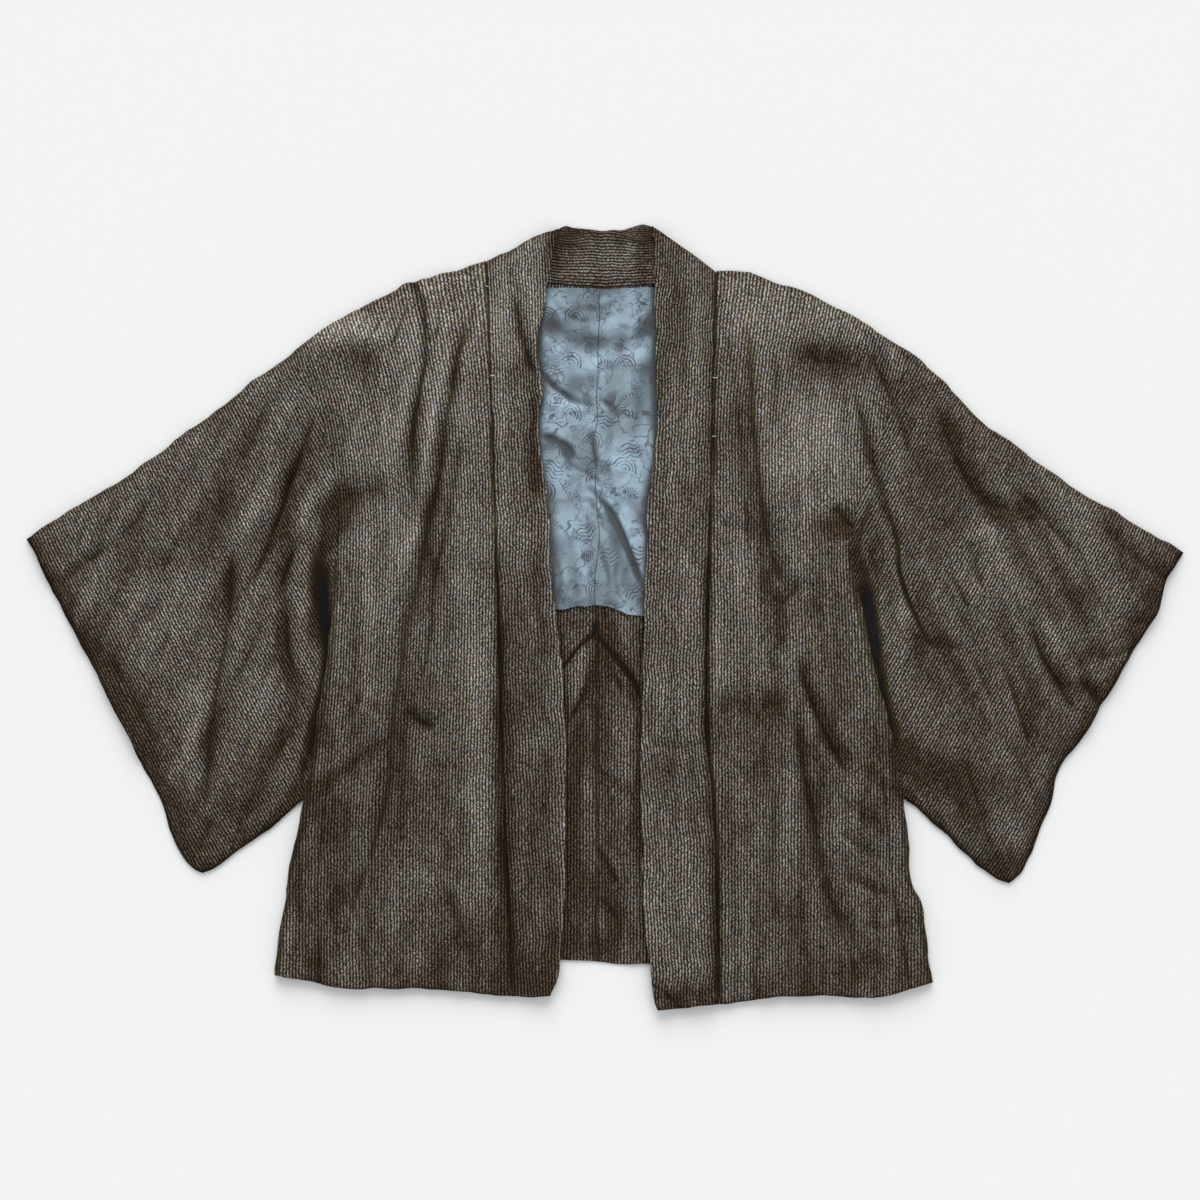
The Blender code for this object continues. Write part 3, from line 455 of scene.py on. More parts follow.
# %% [markdown]
# Sleeves are laid out at a slant and hang from the shoulder fold, so their troughs run from
# the top edge towards the wrist and the lower corner. The deepest ones lie in the shadow
# beside the body's edge.
# %% Creases of the sleeves
SLEEVE_CREASES = (
    # left, beside the body
    (8, 8, 0, 2.4, (-276, 72, -277, 40, -278, 10, -277, -20, -280, -50, -284, -80, -291, -112, -300, -146,
     -310, -176)),
    (12, 6, 0, 0, (-282, -96, -290, -114, -298, -132, -306, -150)),
    (6, 5.2, 1.2, 2, (-302, 92, -310, 70, -318, 50, -321, 34, -319, 14, -317, -12, -316, -34, -308, -54,
     -298, -78, -294, -92)),
    (5, 3, 1, 1, (-304, -90, -312, -108, -320, -124, -332, -142)),
    (14, 4.5, 0, 0, (-300, -160, -325, -175, -350, -190, -380, -215)),
    # left, middle and cuff
    (5, 3.2, 1, 1.4, (-330, 232, -338, 210, -346, 190, -356, 170, -370, 150)),
    (5, 2, 0.8, 0.8, (-362, 210, -374, 192, -388, 172, -398, 160)),
    (4, 1.8, 0.6, 0.6, (-320, 250, -326, 226, -330, 206)),
    (8, 3, 1, 1, (-398, 120, -408, 88, -420, 62, -434, 36, -450, 10, -470, -6)),
    (5, 3.6, 1.4, 1.6, (-452, 122, -468, 98, -486, 80, -504, 66, -522, 54, -538, 38, -552, 22)),
    (7, 4.4, 1.8, 1.8, (-371, 84, -373, 50, -374, 14, -378, -22, -384, -52, -390, -86, -394, -124, -398,
     -172, -402, -210)),
    (4, 2.4, 0.8, 0.8, (-336, 6, -348, -18, -358, -42, -372, -68)),
    (4, 2, 0.8, 0.8, (-326, -24, -334, -46, -342, -72, -346, -96)),
    (5, 2.4, 0.8, 0.8, (-434, 4, -438, -22, -444, -52)),
    (8, 5, 1, 0, (-556, 46, -549, 26, -536, 2, -520, -22, -503, -48, -494, -66)),
    (6, 4, 1.2, 0.6, (-514, -8, -498, -34, -482, -58, -466, -88, -452, -116, -446, -140)),
    (4, 2.4, 0.8, 0.8, (-500, 26, -484, 12, -470, -10, -462, -36)),
    (4, 2.2, 0.8, 0.8, (-428, -110, -424, -138, -420, -166, -424, -190)),
    (4, 1.8, 0.8, 0.8, (-352, -110, -360, -134, -364, -160)),
    (12, 4.2, 0, 0, (-392, -196, -400, -216, -408, -240)),
    # right, beside the body
    (8, 8, 2.2, 0, (252, 84, 256, 62, 261, 36, 266, 8, 270, -22, 275, -54, 280, -84, 288, -112, 298, -140,
     306, -168)),
    (14, 7.5, 0, 0, (284, -104, 298, -124, 314, -142, 330, -156)),
    (4, 2.4, 1.2, 1, (281, 74, 284, 44, 288, 14, 296, -18, 306, -42, 318, -62)),
    (9, 4.4, 0, 0, (316, -18, 332, -26, 350, -28, 362, -34)),
    (13, 4.8, 0, 0, (300, -158, 322, -170, 345, -178, 366, -196)),
    # right, middle and cuff
    (6, 4.8, 1.8, 1.4, (324, 224, 336, 200, 344, 178, 353, 157, 362, 139, 374, 124, 390, 115, 410, 110)),
    (9, 3.4, 0.6, 0.6, (372, 122, 392, 114, 410, 110, 426, 102)),
    (4, 2.4, 0.8, 0.8, (404, 134, 420, 120, 436, 106, 448, 90, 464, 72, 478, 60)),
    (4, 1.8, 0.6, 0.6, (306, 200, 312, 176, 318, 152)),
    (7, 3.8, 1.4, 1.2, (488, 98, 504, 84, 522, 68, 540, 54, 560, 42, 574, 34)),
    (4, 2.6, 0.8, 0.8, (361, 84, 368, 64, 375, 42, 378, 28)),
    (4, 2.2, 0.8, 0.8, (340, 50, 352, 32, 360, 16, 364, 4)),
    (10, 3, 0.8, 0.8, (396, 70, 410, 40, 424, 14, 440, 0)),
    (7, 5.4, 1.8, 1.6, (424, -2, 432, -24, 441, -44, 452, -64, 464, -83, 480, -100)),
    (8, 6, 1, 1, (470, -56, 482, -68, 492, -80, 498, -92)),
    (5, 3.4, 1.2, 0.6, (484, -38, 500, -38, 516, -34, 534, -24, 548, -12)),
    (5, 2.6, 1, 0.6, (508, 2, 524, 0, 540, -2, 556, 2)),
    (5, 3.4, 1.2, 1, (398, -36, 404, -58, 411, -82, 418, -106, 427, -134)),
    (4, 2.2, 0.8, 0.8, (366, -30, 374, -52, 384, -76, 392, -96)),
    (5, 3.2, 1, 1.2, (354, -124, 364, -152, 372, -180, 380, -208, 390, -244)),
    (8, 3.6, 0, 0.6, (482, -106, 466, -130, 452, -152, 449, -176, 438, -206, 428, -234)),
    (4, 2, 0.8, 0.8, (410, -150, 412, -172, 418, -196)),
)
print("creases of the sleeves:", len(SLEEVE_CREASES))

# %% [markdown]
# Between the named creases the crepe is never quite smooth: twisted yarns pull it into small
# puckers and faint wrinkles that run along the stripes. Random heights, blurred more along
# the cloth than across it, give those. The blur is done on the map's waves (a Fourier
# transform), which makes a broad blur as quick as a narrow one.
# %% Fine wrinkles
SLEEVE_LEAN = math.atan2(0.464, 0.886)      # slant of the sleeves' stripes
SLEEVE_FROM_X, SLEEVE_FROM_Y = (250.0, 320.0), (-380.0, -240.0)     # where the body's stripes end
waves_y = 2 * math.pi * np.fft.fftfreq(len(MAP_Y), CELL)[:, None]
waves_x = 2 * math.pi * np.fft.rfftfreq(len(MAP_X), CELL)[None]


def blurred(heights, size_across, size_along, lean=0.0):
    """Gaussian blur of a map, longer along a direction that leans from the vertical."""
    across = waves_x * math.cos(lean) + waves_y * math.sin(lean)
    along = -waves_x * math.sin(lean) + waves_y * math.cos(lean)
    keep = np.exp(-((across * size_across) ** 2 + (along * size_along) ** 2) / 2)
    return np.fft.irfft2(np.fft.rfft2(heights) * keep, s=heights.shape)


def wrinkles(seed, size_across, size_along, height, lean=0.0):
    """Random wrinkles with no slow rise and fall, about `height` high."""
    rough = np.random.default_rng(seed).standard_normal(map_x.shape)
    fine = blurred(rough, size_across, size_along, lean)
    fine -= blurred(rough, size_across * 3, size_along * 3, lean)
    return fine * height / fine.std()


WRINKLES = ((3.0, 8.0, 0.3), (7.0, 26.0, 0.6), (18.0, 55.0, 0.75))  # mm across, along and high


def all_wrinkles(sizes, seed, lean):
    """Wrinkles of several sizes on top of one another, each with the next seed."""
    return sum(wrinkles(seed + n, *size, lean) for n, size in enumerate(sizes))


def over_cloth(sizes, body_seed, left_seed, right_seed):
    """Wrinkles that run along the stripes, upright on the body and leaning on the sleeves."""
    sleeves = np.where(map_x < 0, all_wrinkles(sizes, left_seed, -SLEEVE_LEAN),
                       all_wrinkles(sizes, right_seed, SLEEVE_LEAN))
    return all_wrinkles(sizes, body_seed, 0.0) * (1 - on_sleeve) + sleeves * on_sleeve


on_sleeve = ramp(np.abs(map_x), *SLEEVE_FROM_X) * ramp(map_y, *SLEEVE_FROM_Y)
cloth_grain = over_cloth(WRINKLES, 11, 21, 31)
print("wrinkle heights from", cloth_grain.min().round(2), "to", cloth_grain.max().round(2), "mm")

# %% [markdown]
# Along every edge and seam the cloth goes down to the layer below, and a seam's stitches
# gather it. So the outlines are pressed into the maps as well, and the whole relief is kept
# from sinking through the ground. The sharpest gaps and the turned edges are also drawn as
# dark lines of painted shade, and the seams as dark slits.
# %% Gaps, edges and seams
GAPS = (                # width, darkness, path
    # painted shadow where a sleeve dips under the body, and painted shade in its sharpest folds
    (9, 2.6, (-285, 92, -287, 62, -287, 34, -284, 10, -279, -12, -276, -34, -276, -58, -280, -84, -288,
     -116, -298, -146)),
    (8.6, 2.6, (256, 60, 262, 40, 264, 20, 266, 0, 269, -25, 274, -55, 279, -80, 285, -105, 294, -136)),
    (1.9, 2.6, (278, 122, 286, 101, 294, 73, 295, 48, 303, 24, 312, 2, 322, -20, 330, -36)),
    (1.5, 2, (265, 98, 273, 82, 278, 66, 279, 48)),
    (1.2, 1.5, (405, -62, 412, -85, 421, -110, 427, -130)),
    (1.4, 1.7, (430, -22, 440, -42, 452, -60, 462, -74)),
    (1.1, 1.3, (404, 134, 424, 114, 440, 99, 456, 82)),
    (1.1, 1.6, (290, 4, 299, -16, 310, -34, 324, -58, 334, -70)),
    (0.9, 1.4, (346, 44, 355, 32, 361, 18, 364, 8)),
    (0.9, 1.3, (362, 70, 368, 52, 374, 38, 385, 22)),
    (0.9, 1, (368, -42, 374, -48, 379, -54)),
    (0.9, 1.2, (-310, 72, -316, 54, -323, 38, -330, 22)),
    (1, 1.2, (-301, 174, -310, 154, -322, 128, -334, 102, -346, 76)),
    (0.9, 1.2, (-250, 54, -257, 46, -264, 36)),
)
LOFT = 6.2                      # how high the cloth lies where nothing presses it down
FLOOR_SOFT = 0.7                # height in which it eases on to the ground
SHOULDER_PRESS = (9.0, 4.6)     # width and depth of the dip along the folds at the top
BODY_PRESSES = (        # outline, width and depth of the dip along it
    (FRONT_HEM, 7.0, 1.8), (SIDE_FOLD, 5.0, 1.6), (GUSSET_SEAM, 3.4, 1.8), (COLLAR_EDGE, 4.0, 1.8),
)
SLEEVE_PRESSES = ((CUFF, 7.0, 2.8), (SLEEVE_BOTTOM, 9.0, 3.6))
SEAM_LOWER = 5                  # points of a seam's table that lie in its lower part
BODY_SLITS = (          # outline, width and darkness of the dark line along it: a seam's slit, or painted shade along a turned edge
    (COLLAR_SEAM, 1.0, 1.6), (COLLAR_SEAM[:SEAM_LOWER], 2.0, 0.9), (GUSSET_SEAM[:SEAM_LOWER], 1.3, 1.0),
    (FRONT_HEM, 1.8, 1.2), (SIDE_FOLD, 1.0, 1.2),
)
# painted shade along the cuffs and the sleeves' lower edges, which are turned
SLEEVE_SLITS = ((CUFF, 2.2, 2.0), (SLEEVE_BOTTOM, 3.0, 2.2))
EDGE_SEED, SLIT_SEED = 2, 3
SHOULDER_SEED, BODY_SEED, SLEEVE_SEED = 100, 200, 400   # of each table's first crease


def not_below_ground(heights):
    return (heights + np.sqrt(heights ** 2 + FLOOR_SOFT ** 2)) / 2


def past_ends(table, side):
    """One outline curve, made longer at both ends, so that nothing fades out along it."""
    points = half(table, side)
    run_in = points[0] + (points[0] - points[1]) / np.hypot(*(points[0] - points[1])) * TAPER_LONGEST
    run_out = points[-1] + (points[-1] - points[-2]) / np.hypot(*(points[-1] - points[-2])) * TAPER_LONGEST
    return np.vstack([run_in, points, run_out])


def press_edge(relief, table, side, width, depth):
    """Lower the cloth along one outline curve."""
    press(relief, Crease(width, depth, 0.0, 0.0, past_ends(table, side), 0.0), EDGE_SEED)


def draw_line(relief, path, width, dark):
    """Draw a dark line along a path: the slit of a seam, or painted shade along the turned edge of a hem or
    in a gap.
    """
    near, signed, strength = stroke(path, REACH * width, SLIT_SEED)
    relief[1][near] += dark * np.exp(-(signed / width) ** 2) * strength


def new_relief(loft, grain):
    """A level relief and, with it, an empty map of the dark lines in its creases, which are painted shade.
    """
    return np.stack([loft + grain, np.zeros(map_x.shape)])


print("gaps beside the body and sharp folds:", len(GAPS))

# %% [markdown]
# Now everything goes into the two maps: the creases of the shoulders into both, the others
# into the map of their own piece, and then the outlines of each half.
# %% Finished relief of the outside
body_relief, sleeve_relief = new_relief(LOFT, cloth_grain), new_relief(LOFT, cloth_grain)
for number, crease in enumerate(SHOULDER_CREASES):
    press(body_relief, crease, SHOULDER_SEED + number)
    press(sleeve_relief, crease, SHOULDER_SEED + number)
for number, crease in enumerate(LEFT_CREASES + RIGHT_CREASES + COLLAR_CREASES):
    press(body_relief, crease, BODY_SEED + number)
for number, crease in enumerate(SLEEVE_CREASES):
    press(sleeve_relief, crease, SLEEVE_SEED + number)
for side in SIDES:
    for table in (SHOULDER, SLEEVE_TOP):
        for relief in (body_relief, sleeve_relief):
            press_edge(relief, table, side, *SHOULDER_PRESS)
    press_edge(body_relief, (SHOULDER[0], COLLAR_EDGE[-1]), side, *SHOULDER_PRESS)
    for relief, presses, slits in ((body_relief, BODY_PRESSES, BODY_SLITS),
                                   (sleeve_relief, SLEEVE_PRESSES, SLEEVE_SLITS)):
        for table, width, depth in presses:
            press_edge(relief, table, side, width, depth)
        for table, width, dark in slits:
            draw_line(relief, past_ends(table, side), width, dark)
for width, dark, path in GAPS:
    draw_line(sleeve_relief, path, width, dark)
body_height, sleeve_height = not_below_ground(body_relief[0]), not_below_ground(sleeve_relief[0])
print("body relief up to", body_height.max().round(1), "mm, sleeves' up to", sleeve_height.max().round(1))

# %% [markdown]
# A crease also gets painted shade, for the light that doesn't get into it. The difference
# between the blurred relief and the relief says how deep a spot lies below what is round it.
# Each piece carries that number to its material, which darkens it by that much.
# %% How deep each spot lies
NEAR, WIDE = 3.0, 9.0           # blur in mm for narrow and for broad hollows
DEEP_NEAR, DEEP_WIDE = 1.6, 3.2             # mm below its surroundings that counts as fully deep
NEAR_SHARE, WIDE_SHARE, LINE_SHARE = 0.28, 0.3, 0.5     # part of each, and of the dark lines
SLIT = 1.7                      # most that a point can lie deep, in the slit of a seam
JUST_INSIDE = 1.001             # squares from the map's end, so that there is always a next one


def hollowness(height, lines):
    near = (blurred(height, NEAR, NEAR) - height) / DEEP_NEAR
    wide = (blurred(height, WIDE, WIDE) - height) / DEEP_WIDE
    return np.clip(NEAR_SHARE * near + WIDE_SHARE * wide + LINE_SHARE * lines, -1.0, SLIT)


body_hollow = hollowness(body_height, body_relief[1])
sleeve_hollow = hollowness(sleeve_height, sleeve_relief[1])


def read_map(values, x, y):
    """A map's value at any plan points, mixed from the four squares round each."""
    column = np.clip((x - MAP_X[0]) / CELL, 0, len(MAP_X) - JUST_INSIDE)
    row = np.clip((y - MAP_Y[0]) / CELL, 0, len(MAP_Y) - JUST_INSIDE)
    left, low = column.astype(int), row.astype(int)
    right, up = column - left, row - low
    return ((values[low, left] * (1 - right) + values[low, left + 1] * right) * (1 - up)
            + (values[low + 1, left] * (1 - right) + values[low + 1, left + 1] * right) * up)


print("share of the body in a hollow:", (body_hollow > 0.3).mean().round(3))

# %% [markdown]
# No hem or fold of worn crepe is a clean curve. A small drift of the cloth in plan, the same
# for every piece, makes all the outlines waver and keeps the seams together.
# %% Wavering outlines
WAVER = ((61, 9.0, 0.6), (63, 4.0, 0.2))       # seed, size in mm and reach in mm
drift_x = sum(wrinkles(seed, size, size, reach) for seed, size, reach in WAVER)
drift_y = sum(wrinkles(seed + 1, size, size, reach) for seed, size, reach in WAVER)


def drift(plan):
    x, y = plan[..., 0], plan[..., 1]
    return np.stack([read_map(drift_x, x, y), read_map(drift_y, x, y)], axis=-1)


FAN_X = (60.0, 290.0)           # distance from the middle where the lean starts and is full
# side, steepest lean, heights where it starts and is full, and mm of cloth taken up below that
FANS = ((-1.0, 0.36, 80.0, 260.0, 45.0), (1.0, 0.33, 165.0, 260.0, 25.0))
TAKEN_UP_OVER = 330.0           # mm of height over which that cloth is taken up
FAN_PAST = 1.2                  # share of the full lean that it may grow to farther out


def fanned(plan):
    """Plan points as places on the cloth. Near the shoulders the stripes lean to the sleeves'."""
    cloth = plan.copy()
    reach = np.clip((np.abs(cloth[..., 0]) - FAN_X[0]) / (FAN_X[1] - FAN_X[0]), 0.0, FAN_PAST)
    for sign, lean, start, full, taken_up in FANS:
        up = np.clip((cloth[..., 1] - start) / (full - start), 0.0, None)
        rise = (full - start) * np.where(up < 1, up ** 2 / 2, up - 0.5)
        rise -= taken_up * ramp(cloth[..., 1], start - TAKEN_UP_OVER, start)
        cloth[..., 0] += np.where(np.sign(plan[..., 0]) == sign, -sign * lean * reach * rise, 0.0)
    return cloth


print("outlines drift by up to", np.abs(drift_x).max().round(1), "mm")

# %% [markdown]
# ## Light and dark of the cloth
# Light and shade are painted on the crepe: painted light on the shoulders and the chest,
# painted shade at the hem, the wrists and the sides, and between these soft bands of painted
# shade and light along the folds. Between these, each fold has one
# side that turns its light yarns up and one that turns them under, which shows as soft bands.
# Spots are soft ovals and bands are soft strokes, each with how much it darkens: 1 is the
# darkest brown, and less than 0 is paler than the plain cloth. A spot's row gives its middle,
# half its width, half its height, and its darkness.
# %% Spots of shade, left and neck
LEFT_SPOTS = (
    # left sleeve: upper part, lower part, cuff, patch by the shoulder
    (-400, 150, 130, 110, 0.1), (-385, -175, 95, 75, 0.4), (-420, -235, 50, 40, 0.3),
    (-370, -180, 70, 24, 0.3), (-500, -40, 34, 75, 0.6), (-455, -130, 24, 50, 0.4),
    (-250, 262, 24, 18, 0.5), (-236, 262, 10, 20, 0.2), (-250, 292, 40, 15, -0.9),
    (-278, 280, 30, 9, -0.4), (-288, 250, 14, 14, 0.3), (-430, -215, 24, 38, 0.3), (-568, 52, 20, 30, 0.2),
    (-412, -110, 14, 40, -0.25), (-394, -140, 10, 34, 0.2), (-478, -140, 14, 24, -0.2),
    (-300, -110, 40, 40, 0.3), (-560, 75, 26, 16, 0.2), (-500, 22, 40, 14, -0.2),
    (-420, -40, 30, 40, -0.1), (-330, -80, 26, 40, -0.12),
    # left front: shoulder, chest, below the armpit, hem
    (-150, 300, 80, 70, -0.5), (-200, 215, 44, 50, -0.38), (-160, 320, 22, 30, -0.15),
    (-225, 90, 50, 90, -0.3), (-235, 120, 20, 16, -0.3), (-125, 60, 34, 130, -0.2),
    (-250, -220, 75, 110, 0.5), (-290, -270, 40, 130, 0.2), (-150, -180, 36, 120, 0.12),
    (-150, -300, 44, 70, 0.16), (-200, -355, 150, 40, 0.3), (-310, -90, 24, 60, 0.2),
    # left collar
    (-80, 300, 24, 60, -0.15), (-75, 60, 26, 110, 0.05), (-72, -250, 30, 130, 0.5),
    (-78, -130, 24, 70, 0.22), (-72, -370, 40, 30, 0.6), (-85, -300, 20, 50, 0.2),
    (-140, -325, 24, 24, 0.25), (-155, -352, 16, 14, 0.2), (-122, -310, 10, 30, 0.2),
    (-378, 115, 14, 22, 0.6), (-315, 150, 12, 30, 0.25), (-255, 112, 14, 20, 0.3), (-186, 178, 7, 14, 0.2),
    (-150, 240, 9, 14, 0.2), (-278, -10, 8, 16, 0.2), (-375, -115, 14, 26, 0.3), (-445, 55, 14, 12, 0.2),
    (-235, 284, 20, 14, -0.4), (-174, 130, 6, 22, -0.35), (-205, 190, 8, 26, -0.25),
    (-394, 180, 18, 16, -0.3), (-335, 118, 14, 30, -0.3), (-410, -140, 12, 30, -0.25),
    (-415, -70, 12, 24, -0.2), (-190, -260, 34, 90, -0.36), (-275, -250, 20, 24, -0.2),
    (-294, -320, 24, 30, -0.25), (-66, -130, 14, 30, -0.3), (-140, 90, 24, 40, -0.25),
    (-84, 90, 18, 50, -0.2), (-405, -10, 30, 40, -0.2), (-400, -185, 36, 30, -0.2),
    (-354, 170, 12, 34, 0.3), (-290, 160, 14, 22, 0.3), (-314, 92, 8, 30, 0.3),
    (-260, 95, 8, 24, 0.25), (-209, 210, 8, 24, 0.3), (-90, 247, 8, 8, 0.3), (-149, 240, 8, 12, 0.25),
    (-164, 320, 8, 16, 0.25), (-229, -320, 14, 40, 0.2), (-300, 10, 9, 16, -0.5),
    (-280, -145, 22, 24, -0.35), (-414, -160, 14, 26, -0.25), (-175, 130, 7, 16, -0.3),
    (-184, -20, 10, 24, -0.25), (-64, -120, 12, 20, -0.25), (-190, -340, 14, 14, -0.3),
    # neck band: dark ends and edges round a paler middle
    (-55, 350, 9, 30, 0.3), (36, 350, 9, 30, 0.3), (-46, 366, 12, 40, 0.6), (46, 364, 12, 38, 0.5),
    (4, 360, 30, 12, -0.1), (30, 350, 8, 12, 0.3), (0, 334, 60, 6, 0.4), (0, 388, 60, 6, 0.5),
    (24, 378, 26, 5, 0.5), (-34, 374, 14, 6, 0.4),
)
print("spots on the left and at the neck:", len(LEFT_SPOTS))

# %% [markdown]
# On the right half the painted light is strongest on the chest, and its waist and hem get
# painted shade. The back's inner face and the lining have spots of their own: painted shade
# in the bottoms of folds and painted light on their crowns.
# %% Spots of shade, right and inside
RIGHT_SPOTS = (
    # right collar
    (70, 330, 30, 60, 0.05), (70, 80, 28, 120, -0.2), (74, -200, 26, 130, 0.08), (66, -378, 30, 14, 0.5),
    (96, -372, 20, 12, 0.5),
    # right front: shoulder, chest, waist, hem
    (150, 300, 60, 60, -0.42), (215, 185, 44, 60, -0.62), (225, 304, 60, 22, -0.45),
    (200, 152, 44, 12, -0.25), (230, 250, 40, 18, 0.85), (215, 122, 20, 18, -0.3), (205, 268, 30, 14, 0.3),
    (170, 230, 14, 24, 0.2), (256, 180, 10, 26, 0.2), (345, 95, 16, 10, 0.2), (135, -290, 26, 50, 0.15),
    (265, -120, 12, 22, 0.2), (155, -150, 14, 16, 0.15), (250, -240, 14, 20, 0.15), (276, 40, 8, 24, 0.2),
    (460, -40, 22, 22, 0.15), (548, 4, 14, 26, 0.3), (222, 92, 16, 14, 0.3), (225, -190, 14, 22, 0.25),
    (255, -342, 24, 16, 0.2), (160, 200, 30, 70, -0.3), (145, -10, 34, 80, -0.2),
    (140, -120, 60, 50, 0.25), (200, -240, 110, 130, 0.26), (255, -120, 44, 120, 0.16),
    (215, 40, 24, 70, 0.2), (150, -230, 20, 60, -0.15), (304, -290, 20, 40, 0.3),
    (200, -365, 130, 26, 0.3), (262, -340, 46, 18, 0.25), (325, -35, 24, 8, 0.35),
    (174, 208, 12, 24, 0.45), (223, 150, 12, 14, 0.3), (224, 88, 12, 14, 0.3), (46, -80, 12, 20, 0.25),
    (38, -230, 10, 30, 0.3), (65, -140, 12, 30, 0.2), (155, -240, 24, 30, 0.2), (296, 8, 12, 18, -0.5),
    (286, 250, 12, 40, -0.3), (232, -200, 14, 34, -0.3), (244, -332, 20, 16, -0.25),
    (286, -214, 12, 24, -0.25), (160, -340, 24, 16, -0.2), (95, 170, 9, 24, -0.3), (100, 340, 24, 24, 0.1),
    (270, 45, 9, 18, 0.5), (290, 15, 8, 16, 0.3), (225, 98, 8, 12, 0.25), (235, -155, 10, 14, 0.4),
    (235, -190, 9, 10, 0.3), (120, 300, 10, 16, 0.25), (146, 258, 9, 16, 0.25), (140, -355, 14, 24, 0.3),
    (52, 330, 9, 50, -0.5), (46, 55, 12, 14, -0.3), (84, 55, 12, 14, -0.25), (80, 200, 20, 44, -0.2),
    (250, -245, 30, 36, -0.25), (245, -330, 14, 14, -0.3), (156, -350, 14, 14, -0.2),
    (165, -310, 40, 36, 0.15),
    # right sleeve
    (415, 140, 60, 30, 0.15), (395, -10, 10, 16, 0.2), (476, 20, 14, 14, 0.25), (425, -130, 14, 14, 0.25),
    (310, 190, 20, 24, -0.3), (320, 205, 30, 16, -0.2), (300, -10, 10, 24, -0.6), (356, 100, 14, 14, 0.3),
    (376, 70, 12, 14, 0.3), (402, -20, 10, 16, 0.25), (482, 30, 14, 12, 0.25), (382, 128, 18, 12, -0.25),
    (446, -100, 12, 22, -0.3), (360, 180, 120, 60, 0.12), (540, 10, 18, 34, 0.25),
    (396, -248, 22, 18, 0.3), (277, 104, 12, 24, -0.35), (256, -10, 8, 26, -0.3), (330, 160, 46, 90, 0.34),
    (360, 40, 46, 36, -0.26), (378, 88, 18, 14, -0.3), (450, 60, 90, 60, 0.26), (350, -175, 90, 44, 0.5),
    (400, -240, 60, 44, 0.4), (470, -90, 44, 60, 0.4), (505, -40, 60, 60, 0.2), (464, -18, 24, 14, -0.3),
    (330, -90, 36, 50, 0.1), (545, 60, 40, 30, 0.08), (415, 14, 40, 14, 0.25), (300, -130, 24, 24, 0.3),
    (400, 215, 120, 30, 0.1),
)
OUTSIDE_SPOTS = LEFT_SPOTS + RIGHT_SPOTS
BACK_SPOTS = (
    (-10, -275, 12, 14, 0.4), (38, -180, 10, 60, 0.3), (46, -295, 10, 20, 0.3), (-5, -170, 60, 190, 0.25),
    (-10, -320, 50, 70, 0.3), (-10, -220, 16, 50, -0.2), (-24, -60, 8, 34, -0.45), (-2, -10, 30, 20, 0.3),
)
LINING_SPOTS = (
    (-40, 105, 10, 20, -0.3), (-24, 85, 14, 14, -0.2), (20, 116, 9, 12, 0.5), (16, 80, 8, 14, 0.3),
    (-46, 302, 12, 10, -0.4), (0, 320, 50, 8, 0.3), (0, 40, 50, 30, 0.12), (36, 268, 10, 12, -0.4),
    (27, 190, 12, 12, 0.55), (-24, 238, 18, 8, 0.55), (40, 250, 8, 12, 0.4), (-38, 300, 14, 10, 0.4),
    (0, 284, 24, 8, 0.3), (36, 290, 12, 8, 0.3),
    (-14, 150, 10, 14, 0.3), (-38, 174, 9, 9, 0.3), (10, 114, 8, 18, 0.3), (6, 70, 9, 16, 0.25),
    (-44, 142, 12, 12, -0.25), (-34, 100, 9, 30, -0.25), (42, 60, 9, 24, -0.3), (38, 178, 7, 14, -0.3),
    (-8, 318, 30, 6, -0.3), (0, 334, 70, 8, 0.5), (-65, 250, 7, 70, 0.45), (53, 230, 6, 110, 0.6),
    (-52, 60, 6, 80, 0.5), (-5, 60, 40, 60, 0.12), (44, 60, 7, 90, 0.45), (-20, 300, 34, 12, 0.2),
    (40, 256, 16, 26, 0.35), (-20, 240, 30, 10, -0.15), (25, 160, 26, 26, -0.35), (22, 222, 20, 12, 0.4),
    (-46, 196, 22, 14, -0.3), (-35, 95, 14, 26, -0.2), (15, 52, 10, 26, 0.4), (-4, 292, 30, 8, -0.3),
    (-58, 296, 8, 10, 0.3), (46, 296, 8, 12, 0.4), (20, 262, 24, 8, -0.25), (0, 20, 60, 20, 0.2),
    (10, 0, 40, 7, 0.2), (-34, 204, 18, 20, -0.35), (17, 160, 20, 22, -0.4), (-20, 110, 10, 14, -0.25),
    (-14, 336, 24, 8, -0.3), (-52, 298, 12, 12, 0.5), (38, 302, 12, 10, 0.4), (33, 210, 12, 16, 0.4),
    (-24, 155, 10, 12, 0.4), (10, 97, 12, 24, 0.35), (-54, 180, 8, 10, 0.35), (-40, 75, 12, 14, 0.3),
    (6, 270, 14, 10, -0.25), (-10, 240, 16, 8, 0.2), (35, 65, 9, 14, -0.3), (5, 290, 18, 8, 0.2),
)
PLAIN_SHADE = 0.38              # painted shade of the outside where nothing else is said
BACK_DARKER = 0.14              # how much more painted shade the back's inner face gets
# painted shade of the lining where nothing else is said
PLAIN_LINING = 0.42
print("spots on the right and inside:", len(RIGHT_SPOTS) + len(BACK_SPOTS) + len(LINING_SPOTS))
